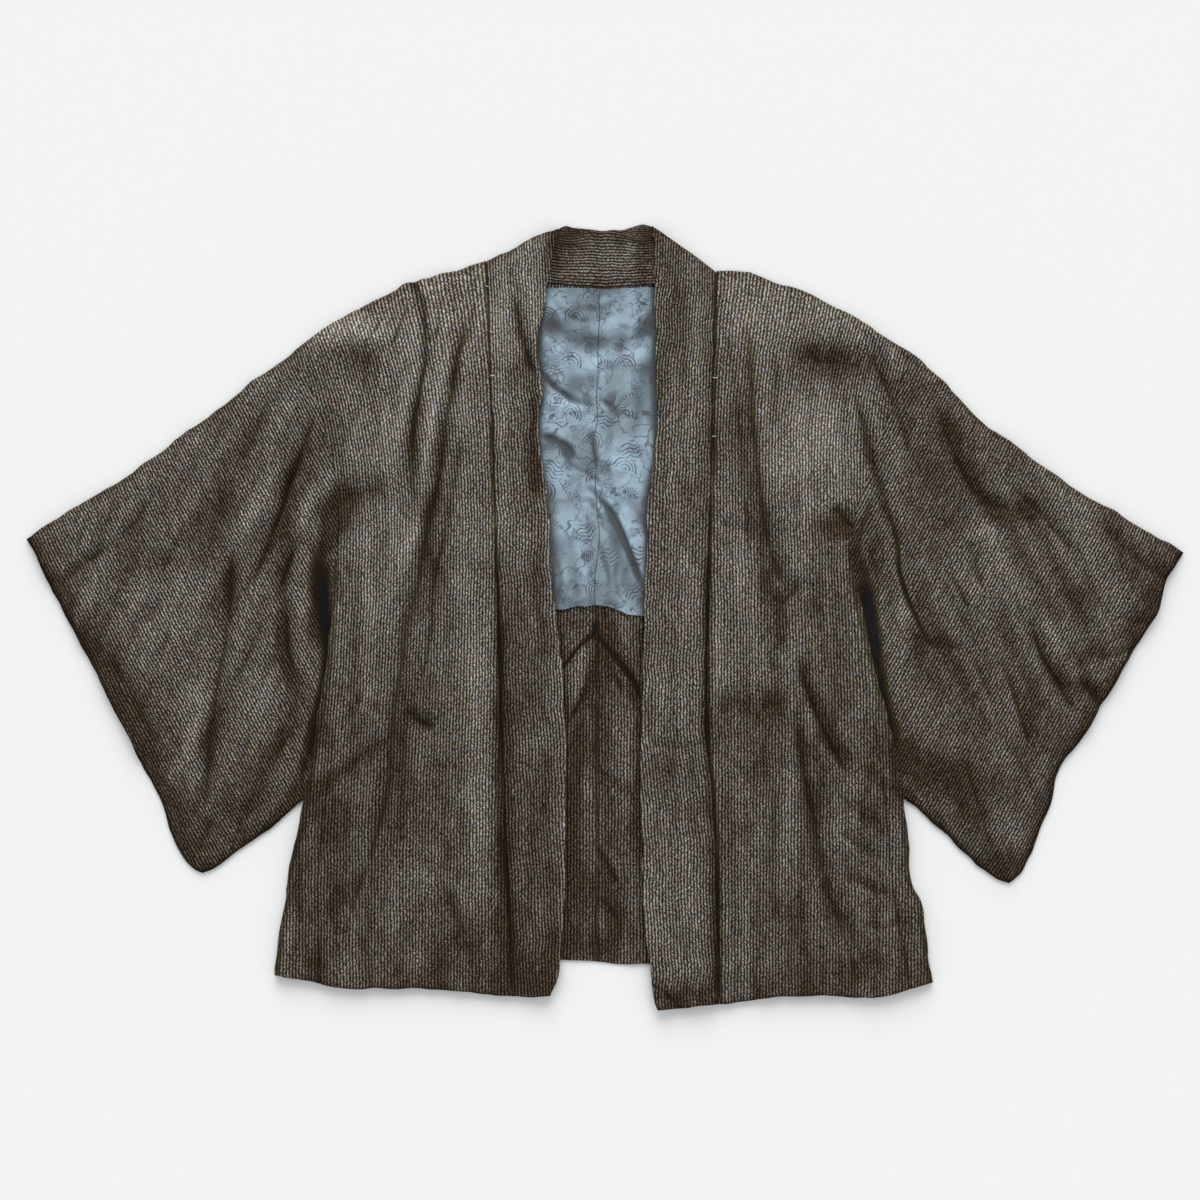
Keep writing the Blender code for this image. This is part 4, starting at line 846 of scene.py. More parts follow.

# %% [markdown]
# Where a fold runs, a band of painted shade or light runs along it. A band's row gives its
# width, its darkness and its path as x, y, x, y and so on.
# %% Bands of shade, left
LEFT_BANDS = (
    # lower edges of the collar
    (5, 0.7, (-112, -377, -93, -378, -73, -378, -54, -376, -34, -374)),
    (5, 0.7, (30, -392, 52, -391, 80, -389, 104, -386, 126, -383)),
    # left sleeve
    (12, 0.22, (-329, 220, -364, 150, -389, 80, -414, 20)),
    (10, 0.4, (-279, 215, -304, 160, -324, 100, -342, 38)),
    (8, 0.3, (-450, 104, -494, 70, -524, 50, -550, 34)),
    (14, 0.2, (-474, 62, -440, 56, -404, 66, -376, 100)),
    (8, 0.42, (-376, 80, -374, 0, -382, -60, -392, -120, -396, -170)),
    (9, 0.4, (-292, 40, -290, 0, -288, -40)),
    (8, 0.6, (-314, 78, -320, 20, -321, -20, -314, -60, -298, -86)),
    (8, 0.4, (-284, 84, -283, 40, -281, 0, -277, -34, -277, -60, -284, -90, -294, -120, -304, -160)),
    (15, 0.9, (-202, 136, -230, 127, -256, 119, -272, 106, -281, 88)),
    (10, 0.6, (-262, 104, -272, 86, -280, 60)),
    (11, 0.6, (-250, 118, -268, 100, -280, 72, -286, 30, -286, -30)),
    (15, 0.6, (-576, 90, -545, 20, -504, -60, -445, -180, -430, -225, -410, -260)),
    (8, -0.32, (-264, 160, -278, 138, -298, 112, -306, 70)),
    (7, -0.25, (-342, 140, -352, 100, -362, 60, -366, 10)),
    (9, 0.25, (-440, 20, -460, 0, -484, -20, -500, -50)),
    # left front
    (6, 0.7, (-198, 352, -186, 322, -179, 290, -178, 262, -182, 238)),
    (8, 0.1, (-198, 236, -190, 180, -188, 130, -196, 60)),
    (8, 0.35, (-134, 320, -142, 280, -152, 236, -160, 200, -166, 160, -174, 110, -182, 60)),
    (9, 0.5, (-154, 214, -160, 186, -163, 158, -169, 124, -176, 88)),
    (7, 0.8, (-184, 232, -191, 200, -193, 170, -192, 140, -186, 108, -184, 90)),
    (5, 0.4, (-138, 200, -147, 150, -156, 100, -166, 56, -172, 20)),
    (12, 0.24, (-164, 150, -166, 110, -174, 60, -184, 10, -196, -40, -204, -100, -210, -150, -220, -220,
     -234, -270, -262, -296)),
    (6, -0.6, (-152, 290, -164, 240, -174, 190, -180, 140, -190, 90, -206, 30)),
    (8, 0.3, (-162, 70, -172, 0, -186, -50)),
    (9, 0.45, (-202, -88, -186, -98, -170, -106)),
    (7, 0.26, (-118, 320, -116, 240, -113, 160, -112, 100)),
    (6, 0.5, (-108, 100, -105, 20, -101, -80, -101, -180, -99, -260, -94, -370)),
    (13, 0.5, (-104, -60, -102, -160, -100, -280, -94, -400)),
    (10, 0.4, (-250, -270, -280, -290, -290, -310)),
    (6, 0.35, (-302, -160, -306, -240, -304, -300, -300, -360)),
    (9, 0.35, (-158, -266, -148, -300, -138, -340)),
    # left collar: painted shade where its inner edge turns down
    (6, 0.6, (-90, 330, -86, 300, -79, 270, -70, 240)),
    (8, 0.7, (-70, 232, -70, 200, -69, 160, -64, 116)),
    (9, 0.5, (-84, 268, -74, 244, -68, 226)),
    (7, 0.3, (-104, -190, -104, -270, -102, -350)),
    (6, 0.3, (38, 20, 36, -60, 35, -140, 38, -210)),
    (8, 0.3, (-74, 60, -66, 20, -58, -20, -50, -50)),
)
print("bands on the left:", len(LEFT_BANDS))

# %% [markdown]
# The bands of the right half, of the back's inner face and of the lining follow.
# %% Bands of shade, right and inside
RIGHT_BANDS = (
    # right collar and front
    (6, 0.25, (110, 330, 109, 260, 110, 190, 105, 100, 101, 20)),
    (6, 0.6, (104, 80, 101, -20, 101, -90, 105, -180, 109, -240, 111, -300, 112, -380)),
    (7, 0.3, (144, 262, 144, 210, 146, 140, 152, 90, 160, 50, 172, 22, 196, 18)),
    (9, 0.2, (126, 290, 132, 200, 138, 130)),
    (9, 0.7, (266, 130, 266, 100, 266, 70, 265, 40)),
    (12, 0.7, (292, -118, 300, -136, 310, -150)),
    (7, 0.8, (247, 82, 252, 54, 258, 24, 262, 0)),
    (9, 0.8, (226, 118, 237, 100, 249, 78)),
    (10, 0.3, (172, 70, 182, 40, 188, 16)),
    (13, 0.35, (158, 66, 170, 30, 182, 4, 178, -40)),
    (9, 0.6, (196, -20, 201, -60, 211, -85, 226, -120, 240, -154)),
    (9, 0.45, (186, -70, 196, -120, 201, -160, 208, -210, 214, -250, 226, -300, 238, -342, 252, -380)),
    (15, 0.65, (108, -78, 132, -86, 156, -90, 190, -82)),
    (9, 0.45, (158, 58, 164, 30, 172, 0, 178, -40)),
    (9, 0.25, (246, -160, 266, -196, 290, -220)),
    (7, 0.2, (226, -230, 250, -250, 280, -262)),
    # right shoulder and sleeve
    (12, 0.45, (196, 244, 200, 266, 224, 270, 250, 264, 274, 250, 289, 226, 301, 196, 321, 172)),
    (6, 0.7, (251, 222, 258, 190, 269, 150, 278, 110, 286, 80)),
    (7, 0.35, (296, 10, 308, -14, 326, -32)),
    (10, 0.34, (328, 220, 344, 176, 360, 142, 380, 112, 404, 102, 424, 112, 440, 96)),
    (12, 0.34, (366, 122, 390, 106, 416, 108, 440, 98)),
    (14, 0.5, (576, 80, 552, 16, 526, -33, 486, -106, 452, -168, 426, -235, 410, -262)),
    (9, 0.35, (496, 108, 526, 60, 548, 38)),
    (8, 0.3, (300, 0, 326, -22, 352, -16)),
    (9, 0.5, (421, 20, 436, -30, 456, -60, 486, -70, 500, -60)),
    (7, 0.4, (546, 0, 506, -20, 476, -44)),
    (12, 0.45, (286, -142, 316, -150, 346, -152, 370, -156)),
    (9, 0.2, (396, 20, 416, -60, 426, -120, 436, -160)),
    (9, 0.25, (354, -120, 366, -160, 384, -210)),
)
OUTSIDE_BANDS = LEFT_BANDS + RIGHT_BANDS
BACK_BANDS = (
    (8, 0.5, (-12, -4, -18, -60, -28, -120, -32, -180, -32, -250, -34, -350)),
    (8, 0.5, (-2, -2, 12, -30, 30, -70, 36, -130, 37, -190, 36, -270)),
    (8, 0.35, (-12, -235, 6, -280, 12, -340)),
    (7, -0.3, (-22, -20, -26, -60, -30, -100)),
    (5, -0.3, (-37, -96, -37, -150, -37, -210)),
    (10, -0.2, (4, -260, 6, -300)),
    (2.4, 0.8, (-9, -10, -2, -23, 15, -43, 30, -64, 36, -84)),
    (2.2, 0.7, (-9, -10, -20, -22, -30, -33, -41, -49)),
    (2, 0.45, (-7, -31, 2, -44, 12, -60, 20, -74)),
    (4, 0.45, (-11, -49, -19, -70, -34, -100)),
    (4.5, 0.3, (-20, -118, -28, -160, -33, -200, -36, -242)),
    (3, 0.35, (-8, -152, 10, -163, 30, -179)),
    (3, -0.3, (-8, -143, 10, -153, 30, -168)),
    (3, 0.5, (-10, -224, 0, -242, 14, -266)),
    (3, -0.3, (-2, -222, 8, -238, 22, -262)),
    (4, 0.5, (-10, -279, 4, -288, 13, -302, 14, -326)),
    (4, -0.35, (-8, -292, 0, -304, 2, -322)),
)
LINING_BANDS = (
    (8, 0.5, (-62, 308, -46, 293, -28, 283, -4, 277, 20, 281, 40, 292, 50, 303)),
    (7, -0.35, (-56, 280, -40, 266, -20, 256, 4, 252, 30, 258, 46, 266)),
    (6, -0.3, (-4, 300, 14, 300, 32, 306, 46, 312)),
    (7, -0.3, (-58, 226, -40, 214, -20, 206, -8, 200)),
    (6, -0.35, (-30, 138, -10, 138, 8, 128, 20, 110, 30, 90, 40, 66)),
    (5, -0.3, (-26, 120, -12, 106, 0, 86, 8, 66, 16, 44)),
    (6, 0.3, (-34, 316, -18, 310, 16, 318)),
    (7, 0.6, (-64, 247, -50, 235, -36, 226, -12, 220)),
    (8, 0.45, (2, 226, 8, 216, 18, 200)),
    (7, 0.6, (-64, 184, -50, 179, -37, 168, -31, 156)),
    (5, 0.4, (-14, 188, -10, 170, -6, 150)),
    (9, 0.4, (-4, 160, 8, 144, 24, 140)),
    (4, 0.7, (-19, 128, -12, 129, 1, 114, 13, 95, 21, 76, 30, 54, 40, 28)),
    (11, 0.3, (-14, 122, -2, 104, 10, 82, 18, 60, 28, 34)),
    (10, 0.3, (28, 130, 36, 110, 43, 80)),
    (9, 0.25, (-40, 100, -34, 60, -30, 20)),
)
print("bands on the right and inside:", len(RIGHT_BANDS) + len(BACK_BANDS) + len(LINING_BANDS))

# %% [markdown]
# Spots and bands of painted light and shade are added up to three maps: of the outside, of
# the back's inner face and of the lining. Some bands follow an outline: the painted highlight
# on the collar's edge, the painted shadow beside it, and painted shade along the hem, the cuffs
# and the sleeves' lower edges. Random streaks of painted shade, drawn out along the stripes, go
# under them all.
# %% Shade maps
STREAKS = ((4.0, 40.0, 0.11), (8.0, 14.0, 0.08), (13.0, 80.0, 0.11))   # random streaks of painted shade: mm across and along, shade
RIMS = ((FRONT_HEM, 4, 0.2), (CUFF, 5, 0.5), (SLEEVE_BOTTOM, 6, 0.5))   # painted shade along turned edges: outline, width, darkness
COLLAR_RIM = 1.5                # width of the painted highlight along the collar's edge
# how light that painted highlight is on each side
COLLAR_HIGHLIGHT = {"left": -0.9, "right": -0.4}
BESIDE_COLLAR = ((2.2, 0.5), (6.0, 0.3))        # painted shadow beside the collar's edge: width and darkness
painted_streaks = over_cloth(STREAKS, 101, 81, 91)


# painted light and shade: the plain level, the random streaks, the spots and the bands, added up
def shade_map(plain, spots, bands, seed):
    shade = plain + painted_streaks
    for x, y, wide, high, dark in spots:
        shade += dark * np.exp(-((map_x - x) / wide) ** 2 - ((map_y - y) / high) ** 2)
    for number, (width, dark, path) in enumerate(bands):
        near, signed, strength = stroke(path, REACH * width, seed + number)
        shade[near] += dark * np.exp(-(signed / width) ** 2) * strength
    return shade


# painted shade along the turned edges, the painted highlight on the collar's edge, and the painted shadow
# beside it
hem_rims = tuple((width, dark, past_ends(table, side)) for side in SIDES for table, width, dark in RIMS)
collar_rims = tuple((COLLAR_RIM, COLLAR_HIGHLIGHT[side], half(COLLAR_EDGE, side)) for side in SIDES)
beside_collar = tuple((*band, half(COLLAR_EDGE, side)) for side in SIDES for band in BESIDE_COLLAR)
outside_shade = shade_map(PLAIN_SHADE, OUTSIDE_SPOTS, OUTSIDE_BANDS + collar_rims + hem_rims, 1000)
back_shade = shade_map(PLAIN_SHADE + BACK_DARKER, BACK_SPOTS, BACK_BANDS + beside_collar, 1200)
lining_shade = shade_map(PLAIN_LINING, LINING_SPOTS, LINING_BANDS + beside_collar, 1300)
print("shade of the outside from", outside_shade.min().round(1), "to", outside_shade.max().round(1))

# %% [markdown]
# ## Crepe
# The outside is silk crepe in the manner of *omeshi*: hard-twisted yarns, dark brown, with
# thin light columns where a pale yarn floats on the face. The pale yarn was dyed in short
# lengths before weaving, so it is beige here and blue-grey there, and it shows in flecks. The
# cloth hardly shines. In a crease the columns give way to a dark brown of painted shade.
#
# The pattern lives on the cloth's own UV map, in metres across and along the cloth, so it
# bends with the cloth. Columns are 3.15 mm apart, as counted on the cloth.
# %% Node helper and colours


def linear(code):
    """sRGB hex colour as linear RGBA."""
    channels = [int(code[i:i + 2], 16) / 255 for i in (1, 3, 5)]
    return tuple(c / 12.92 if c <= 0.04045 else ((c + 0.055) / 1.055) ** 2.4 for c in channels) + (1.0,)


def new_material(name):
    material = bpy.data.materials.new(name)
    material.use_nodes = True
    return material, material.node_tree


def add(tree, kind, inputs, out=0, **settings):
    """Add a node with its settings. Each input is linked if it is a socket and set if not."""
    node = tree.nodes.new("ShaderNode" + kind)
    for name, value in settings.items():
        setattr(node, name, value)
    for key, value in inputs.items() if isinstance(inputs, dict) else enumerate(inputs):
        if isinstance(value, bpy.types.NodeSocket):
            tree.links.new(value, node.inputs[key])
        else:
            node.inputs[key].default_value = value
    return node.outputs[out]


print("dark brown in linear light:", [round(c, 4) for c in linear("#241d17")])

# %% [markdown]
# Counting along the cloth in steps of one column gives each column its number, and the rest is
# the distance from the column's middle, which says where its pale yarn is. Slow noise moves
# the count first, so that the columns stray and are pulled apart as in a worn crepe.
# %% Crepe: columns
COLUMN = 3.15                   # mm between columns
CLOTH_WIDTH = 360.0             # mm of a kimono cloth
YARN_EDGE = (1.4, 0.15)          # mm from a column's middle where its yarn ends and is full
# cells for each mm across and along the cloth, and mm that a column strays in them
STRAYS = ((0.035, 0.035, 2.2), (0.2, 0.2, 0.35), (0.24, 0.45, 2.3))
crepe, weave = new_material("silk crepe")
cloth_uv = add(weave, "TexCoord", {}, out="UV")
cloth_mm = add(weave, "VectorMath", {0: cloth_uv, "Scale": 1 / MM}, operation="SCALE")
axes = add(weave, "SeparateXYZ", [cloth_mm]).node
cloth_x, cloth_y = axes.outputs["X"], axes.outputs["Y"]


def uneven(x, y, cells, detail=1.0):
    """Noise in cells of their own width and length, in mm or in columns."""
    at = add(weave, "CombineXYZ", [add(weave, "Math", [x, cells[0]], operation="MULTIPLY"),
                                   add(weave, "Math", [y, cells[1]], operation="MULTIPLY")])
    return add(weave, "TexNoise", {"Vector": at, "Scale": 1.0, "Detail": detail}, noise_dimensions="2D")


strayed = cloth_x
for *cells, reach in STRAYS:
    stray = uneven(cloth_x, cloth_y, cells)
    strayed = add(weave, "Math", [stray, reach, strayed], operation="MULTIPLY_ADD")
across = add(weave, "Math", [strayed, COLUMN], operation="DIVIDE")
column = add(weave, "Math", [across], operation="FLOOR")
off = add(weave, "Math", [add(weave, "Math", [across], operation="FRACT"), COLUMN, -COLUMN / 2],
          operation="MULTIPLY_ADD")
off = add(weave, "Math", [off], operation="ABSOLUTE")
yarn = add(weave, "MapRange", [off, *YARN_EDGE, 0.0, 1.0], interpolation_type="SMOOTHSTEP")
print("columns in a cloth's width:", round(CLOTH_WIDTH / COLUMN))

# %% [markdown]
# Four things make a column uneven along its length. Neighbouring columns take turns: where
# one floats on the face, the next dips under. The weft crosses as a faint rib every few
# millimetres, tighter in one place than in another. And each yarn has lumps of its own.
# %% Crepe: unevenness along a column
# each one's cells for each mm across and along the cloth, and how much it changes the level
TURNS, PULLS, LUMPS = (0.16, 0.42, 1.7), (0.2, 0.8, 1.3), (5.17, 1.0, 0.8)
RIB, RIB_HEIGHT, RIB_SHIFT = 4.7, 0.13, 2.0     # mm between ribs, change of level, ribs' unevenness
RIB_CELLS = (0.05, 0.03)
PLAIN_LEVEL = 0.88
LEVEL_RANGE = (0.48, 1.2)       # a yarn is never quite hidden, nor much wider than its column
DYE_CELLS, DYE_RANGE = (3.31, 0.4), (0.33, 0.67)        # most of the noise lies in this range
turn = add(weave, "Math", [uneven(cloth_x, cloth_y, TURNS), 0.5], operation="SUBTRACT")
parity = add(weave, "Math", [column, 2.0], operation="FLOORED_MODULO")
parity = add(weave, "Math", [parity, 2.0, -1.0], operation="MULTIPLY_ADD")
turn = add(weave, "Math", [turn, TURNS[2]], operation="MULTIPLY")
level = add(weave, "Math", [turn, parity, PLAIN_LEVEL], operation="MULTIPLY_ADD")
for x, cells in ((cloth_x, PULLS), (column, LUMPS)):
    part = add(weave, "Math", [uneven(x, cloth_y, cells), 0.5], operation="SUBTRACT")
    level = add(weave, "Math", [part, cells[2], level], operation="MULTIPLY_ADD")
rib = add(weave, "Math", [uneven(cloth_x, cloth_y, RIB_CELLS), RIB_SHIFT,
                          add(weave, "Math", [cloth_y, RIB], operation="DIVIDE")], operation="MULTIPLY_ADD")
rib = add(weave, "Math", [add(weave, "Math", [rib, 2 * math.pi], operation="MULTIPLY")], operation="SINE")
level = add(weave, "Math", [rib, RIB_HEIGHT, level], operation="MULTIPLY_ADD")
level = add(weave, "MapRange", [level, *LEVEL_RANGE, *LEVEL_RANGE])
dye = uneven(column, cloth_y, DYE_CELLS, 2.0)
dye = add(weave, "MapRange", [dye, *DYE_RANGE, 0.0, 1.0])
print("ribs in 100 mm:", round(100 / RIB))

# %% [markdown]
# The ground is two browns that run into each other, and paler where the painted light is strongest.
# Over it goes the yarn's own dye, read from a ramp of the dyer's colours.
# %% Crepe: colours
# the third ground colour is a paler brown of painted light
GROUND_WARM, GROUND_COOL, GROUND_PAINTED_LIGHT = "#38200f", "#23241d", "#6a5c50"
PAINTED_LIGHT_RANGE, PAINTED_LIGHT_MOST = (-0.6, 0.3), 0.3        # painted light: shades where the ground is palest and is dark
GROUND_CELLS, GROUND_RANGE = (0.31, 0.27), (0.35, 0.65)
YARNS = (               # place on the ramp, and dye
    (0.0, "#c2b8a0"), (0.2, "#c6b2aa"), (0.42, "#c4bcb0"), (0.6, "#b4bcaa"), (0.8, "#acb4be"),
    (1.0, "#b8b0bc"),
)
ramp_node = add(weave, "ValToRGB", [dye]).node
stops = ramp_node.color_ramp.elements
stops[0].color, stops[1].color = linear(YARNS[0][1]), linear(YARNS[-1][1])
for position, code in YARNS[1:-1]:
    stops.new(position).color = linear(code)
dusk = add(weave, "MapRange", [uneven(cloth_x, cloth_y, GROUND_CELLS), *GROUND_RANGE, 0.0, 1.0])
ground = add(weave, "Mix", {0: dusk, 6: linear(GROUND_WARM), 7: linear(GROUND_COOL)}, out=2,
             data_type="RGBA")
lit_yarn = add(weave, "Math", [yarn, level], operation="MULTIPLY")
lit_yarn = add(weave, "Math", [lit_yarn, 2.0], operation="POWER")      # an eye sees roots of light
shade = add(weave, "Attribute", {}, out="Fac", attribute_name="shade")
# painted light: where the shade is low, the ground is mixed towards that paler brown
painted_light = add(weave, "MapRange", [shade, *PAINTED_LIGHT_RANGE, PAINTED_LIGHT_MOST, 0.0])
ground = add(weave, "Mix", {0: painted_light, 6: ground, 7: linear(GROUND_PAINTED_LIGHT)}, out=2, data_type="RGBA")
striped = add(weave, "Mix", {0: lit_yarn, 6: ground, 7: ramp_node.outputs[0]}, out=2, data_type="RGBA")
print("yarn dyes:", [code for _, code in YARNS])

# %% [markdown]
# Two attributes of the cloth carry painted shade. "hollow" is the depth of a crease, where the
# columns vanish into a dark brown of painted shade. "shade" is the broad painted light and
# shade: light on the shoulders and the chest, dark at the hem, the wrists and the sides.
# %% Crepe: painted light and shade, and creases
SHADE_TINT, CREASE_TINT = "#7e6342", "#cfc4a8"    # painted shade: what full shade and a full crease multiply the colour by
# painted shade: the dark brown that a crease's columns give way to, and the black painted in the deepest
# slits and gaps
CREASE_GROUND, SLIT_BLACK = "#463a28", "#0f1012"
CLOSED_MOST = 0.8               # how far the columns vanish into that painted shade in the deepest crease
SLIT_FROM, SLIT_FULL, SLIT_MOST = 0.95, SLIT - 0.2, 0.82        # depths that get painted black, and how much
CRINKLES = ((0.13, 0.045, 0.6), (0.08, 0.1, 0.4))      # painted shade of small crinkles: cells for each mm across and along, and shade
SHADE_RANGE, TINT_RANGE = (-1.0, 1.1), (-0.9, 0.9)     # shade, and how much of its tint it gets
# painted shade in creases: the columns give way to the dark brown, and the colour is multiplied by the
# crease tint
hollow = add(weave, "Attribute", {}, out="Fac", attribute_name="hollow")
deep = add(weave, "MapRange", [hollow, 0.0, 1.0, 0.0, 1.0], interpolation_type="SMOOTHSTEP")
closed = add(weave, "Math", [deep, CLOSED_MOST], operation="MULTIPLY")
creased = add(weave, "Mix", {0: closed, 6: striped, 7: linear(CREASE_GROUND)}, out=2, data_type="RGBA")
# painted shade of small crinkles, added to the shade
for *cells, strength in CRINKLES:
    crinkle_shade = add(weave, "Math", [uneven(cloth_x, cloth_y, cells, 2.0), 0.5], operation="SUBTRACT")
    shade = add(weave, "Math", [crinkle_shade, strength, shade], operation="MULTIPLY_ADD")
# painted light and shade: the shade tints the colour towards the dark brown, or lightens it below 0
tinted = add(weave, "MapRange", [shade, *SHADE_RANGE, *TINT_RANGE])
tint = add(weave, "Mix", {0: tinted, 6: linear("#ffffff"), 7: linear(SHADE_TINT)}, out=2,
           data_type="RGBA", clamp_factor=False)
shaded_cloth = add(weave, "Mix", {0: 1.0, 6: creased, 7: tint}, out=2, data_type="RGBA", blend_type="MULTIPLY")
finished = add(weave, "Mix", {0: deep, 6: shaded_cloth, 7: linear(CREASE_TINT)}, out=2, data_type="RGBA",
               blend_type="MULTIPLY")
# painted black shadow in the deepest slits and gaps
slit = add(weave, "MapRange", [hollow, SLIT_FROM, SLIT_FULL, 0.0, SLIT_MOST])
finished = add(weave, "Mix", {0: slit, 6: finished, 7: linear(SLIT_BLACK)}, out=2, data_type="RGBA")
crepe_surface = weave.nodes["Principled BSDF"]
weave.links.new(finished, crepe_surface.inputs["Base Color"])
print("crepe closes its columns by up to", CLOSED_MOST, "in a crease")

# %% [markdown]
# Under a low light crepe shows its grain: puckers from the twist of its yarns, and the cords
# of the columns that float on it. The bump follows the same yarns as the colour does. The eye
# gets a dull, soft cloth with hardly any shine.
# %% Crepe: surface
PUCKER_CELLS, PUCKER_LIFT = 0.28, 1.1           # puckers for each mm, and their share of the height
CORD_LIFT, CORD_HEIGHT = 0.55, 0.9 * MM         # the cords' share, and the height in metres
GRAIN = 0.9
CREPE_SURFACE = (("Roughness", 0.85), ("Specular IOR Level", 0.12), ("Sheen Weight", 0.04),
                 ("Sheen Roughness", 0.5))
pucker = add(weave, "TexNoise", {"Vector": cloth_mm, "Scale": PUCKER_CELLS, "Detail": 2.0},
             noise_dimensions="2D")
cord = add(weave, "Math", [lit_yarn, CORD_LIFT], operation="MULTIPLY")
lift = add(weave, "Math", [pucker, PUCKER_LIFT, cord], operation="MULTIPLY_ADD")
bump = add(weave, "Bump", {"Strength": GRAIN, "Distance": CORD_HEIGHT, "Height": lift})
weave.links.new(bump, crepe_surface.inputs["Normal"])
for name, value in CREPE_SURFACE:
    crepe_surface.inputs[name].default_value = value
print("crepe nodes:", len(weave.nodes))

# %% [markdown]
# ## Lining
# A haori keeps its show for the inside: the lining is smooth printed silk, here blue-grey with
# thin slate line work. The motifs are the common stock of kimono linings - wave fans, pine
# sprigs, blossoms and drifting mist - scattered at random, one in each cell of a Voronoi
# pattern, and turned a little. Silk's surface is smooth, so it has a soft sheen.
# %% Lining: cells and their motifs' own axes
MOTIF = 27.0                    # mm from one motif to the next
STRAGGLE = 0.75                 # how far motifs are from standing in rows, 1 is fully at random
SHAKE, SHAKE_CELLS = 2.4, 0.16  # mm that a drawn line strays, as by hand, and waves for each mm
TURN_MOST = 0.8                 # most that a motif is turned, in radians
PIECE_AREA = 90 * 320           # mm2 of one lining piece
silk, printed = new_material("printed lining silk")
silk_uv = add(printed, "TexCoord", {}, out="UV")
silk_mm = add(printed, "VectorMath", {0: silk_uv, "Scale": 1 / MM}, operation="SCALE")
shake = add(printed, "TexNoise", {"Vector": silk_mm, "Scale": SHAKE_CELLS, "Detail": 2.0}, out="Color",
            noise_dimensions="2D")
shaken = add(printed, "VectorMath", [shake, (SHAKE, SHAKE, 0.0), silk_mm], operation="MULTIPLY_ADD")
cell = add(printed, "TexVoronoi", {"Vector": shaken, "Scale": 1 / MOTIF, "Randomness": STRAGGLE},
           voronoi_dimensions="2D").node
local = add(printed, "VectorMath", [shaken, cell.outputs["Position"]], operation="SUBTRACT")
lot = add(printed, "SeparateColor", [cell.outputs["Color"]]).node
turn = add(printed, "Math", [lot.outputs[1], 2 * TURN_MOST, -TURN_MOST], operation="MULTIPLY_ADD")
local = add(printed, "VectorRotate", {"Vector": local, "Angle": turn}, rotation_type="Z_AXIS")
own = add(printed, "SeparateXYZ", [local]).node
away = add(printed, "VectorMath", [local], out="Value", operation="LENGTH")
angle = add(printed, "Math", [own.outputs[0], own.outputs[1]], operation="ARCTAN2")
upper = add(printed, "MapRange", [own.outputs[1], -1.0, 0.0, 0.0, 1.0])
print("motifs on one lining piece:", round(PIECE_AREA / MOTIF ** 2))

# %% [markdown]
# Every motif is a set of thin lines at equal steps of some distance: from the motif's middle
# for the wave fan, round it for pine needles, up it along a wavy line for mist.
# %% Lining: line work
STROKE = 0.6                    # mm, half a drawn line
STROKE_RANGE = (STROKE * 1.2, STROKE * 0.6)     # mm from its middle where ink starts and is full
MOTIF_FADE = 2.0                # mm over which a motif's lines run out
PETAL_TURN, PETAL_DEEP = 2.5, 2.4       # half the petals of a blossom, and mm between tip and notch
WAVE_TURN, WAVE_HIGH = 0.45, 1.3        # radians for each mm of a wavy line, and mm it rises
NEEDLES = 9.0
petal = add(printed, "Math", [angle, PETAL_TURN], operation="MULTIPLY")
petal = add(printed, "Math", [add(printed, "Math", [petal], operation="SINE")], operation="ABSOLUTE")
petal = add(printed, "Math", [petal, -PETAL_DEEP, away], operation="MULTIPLY_ADD")
wave = add(printed, "Math", [own.outputs[0], WAVE_TURN], operation="MULTIPLY")
wave = add(printed, "Math", [wave], operation="SINE")
wave = add(printed, "Math", [wave, WAVE_HIGH, own.outputs[1]], operation="MULTIPLY_ADD")
spoke = add(printed, "Math", [angle, NEEDLES], operation="MULTIPLY")
MOTIFS = (              # distance, step in mm, reach in mm, upper half only, share of motifs
    (away, 3.1, 13.5, True, 0.0, 0.28),
    (spoke, 2.9, 10.5, True, 0.28, 0.5),
    (wave, 4.0, 11.5, False, 0.5, 0.74),
    (petal, 4.6, 9.5, False, 0.74, 0.88),
    (own.outputs[0], 1.9, 7.0, False, 0.88, 1.0),
)
drawn = 0.0
for distance, step, reach, upper_only, low, high in MOTIFS:
    share = add(printed, "Math", [distance, step], operation="DIVIDE")
    share = add(printed, "Math", [share], operation="FRACT")
    share = add(printed, "Math", [share, step, -step / 2], operation="MULTIPLY_ADD")
    share = add(printed, "Math", [share], operation="ABSOLUTE")
    line = add(printed, "MapRange", [share, *STROKE_RANGE, 0.0, 1.0])
    inside = add(printed, "MapRange", [away, reach, reach - MOTIF_FADE, 0.0, 1.0])
    line = add(printed, "Math", [line, inside], operation="MULTIPLY")
    if upper_only:
        line = add(printed, "Math", [line, upper], operation="MULTIPLY")
    for limit, test in ((low, "GREATER_THAN"), (high, "LESS_THAN")):
        line = add(printed, "Math", [line, add(printed, "Math", [lot.outputs[0], limit], operation=test)],
                   operation="MULTIPLY")
    drawn = add(printed, "Math", [drawn, line], operation="MAXIMUM")
print("kinds of motif:", len(MOTIFS))

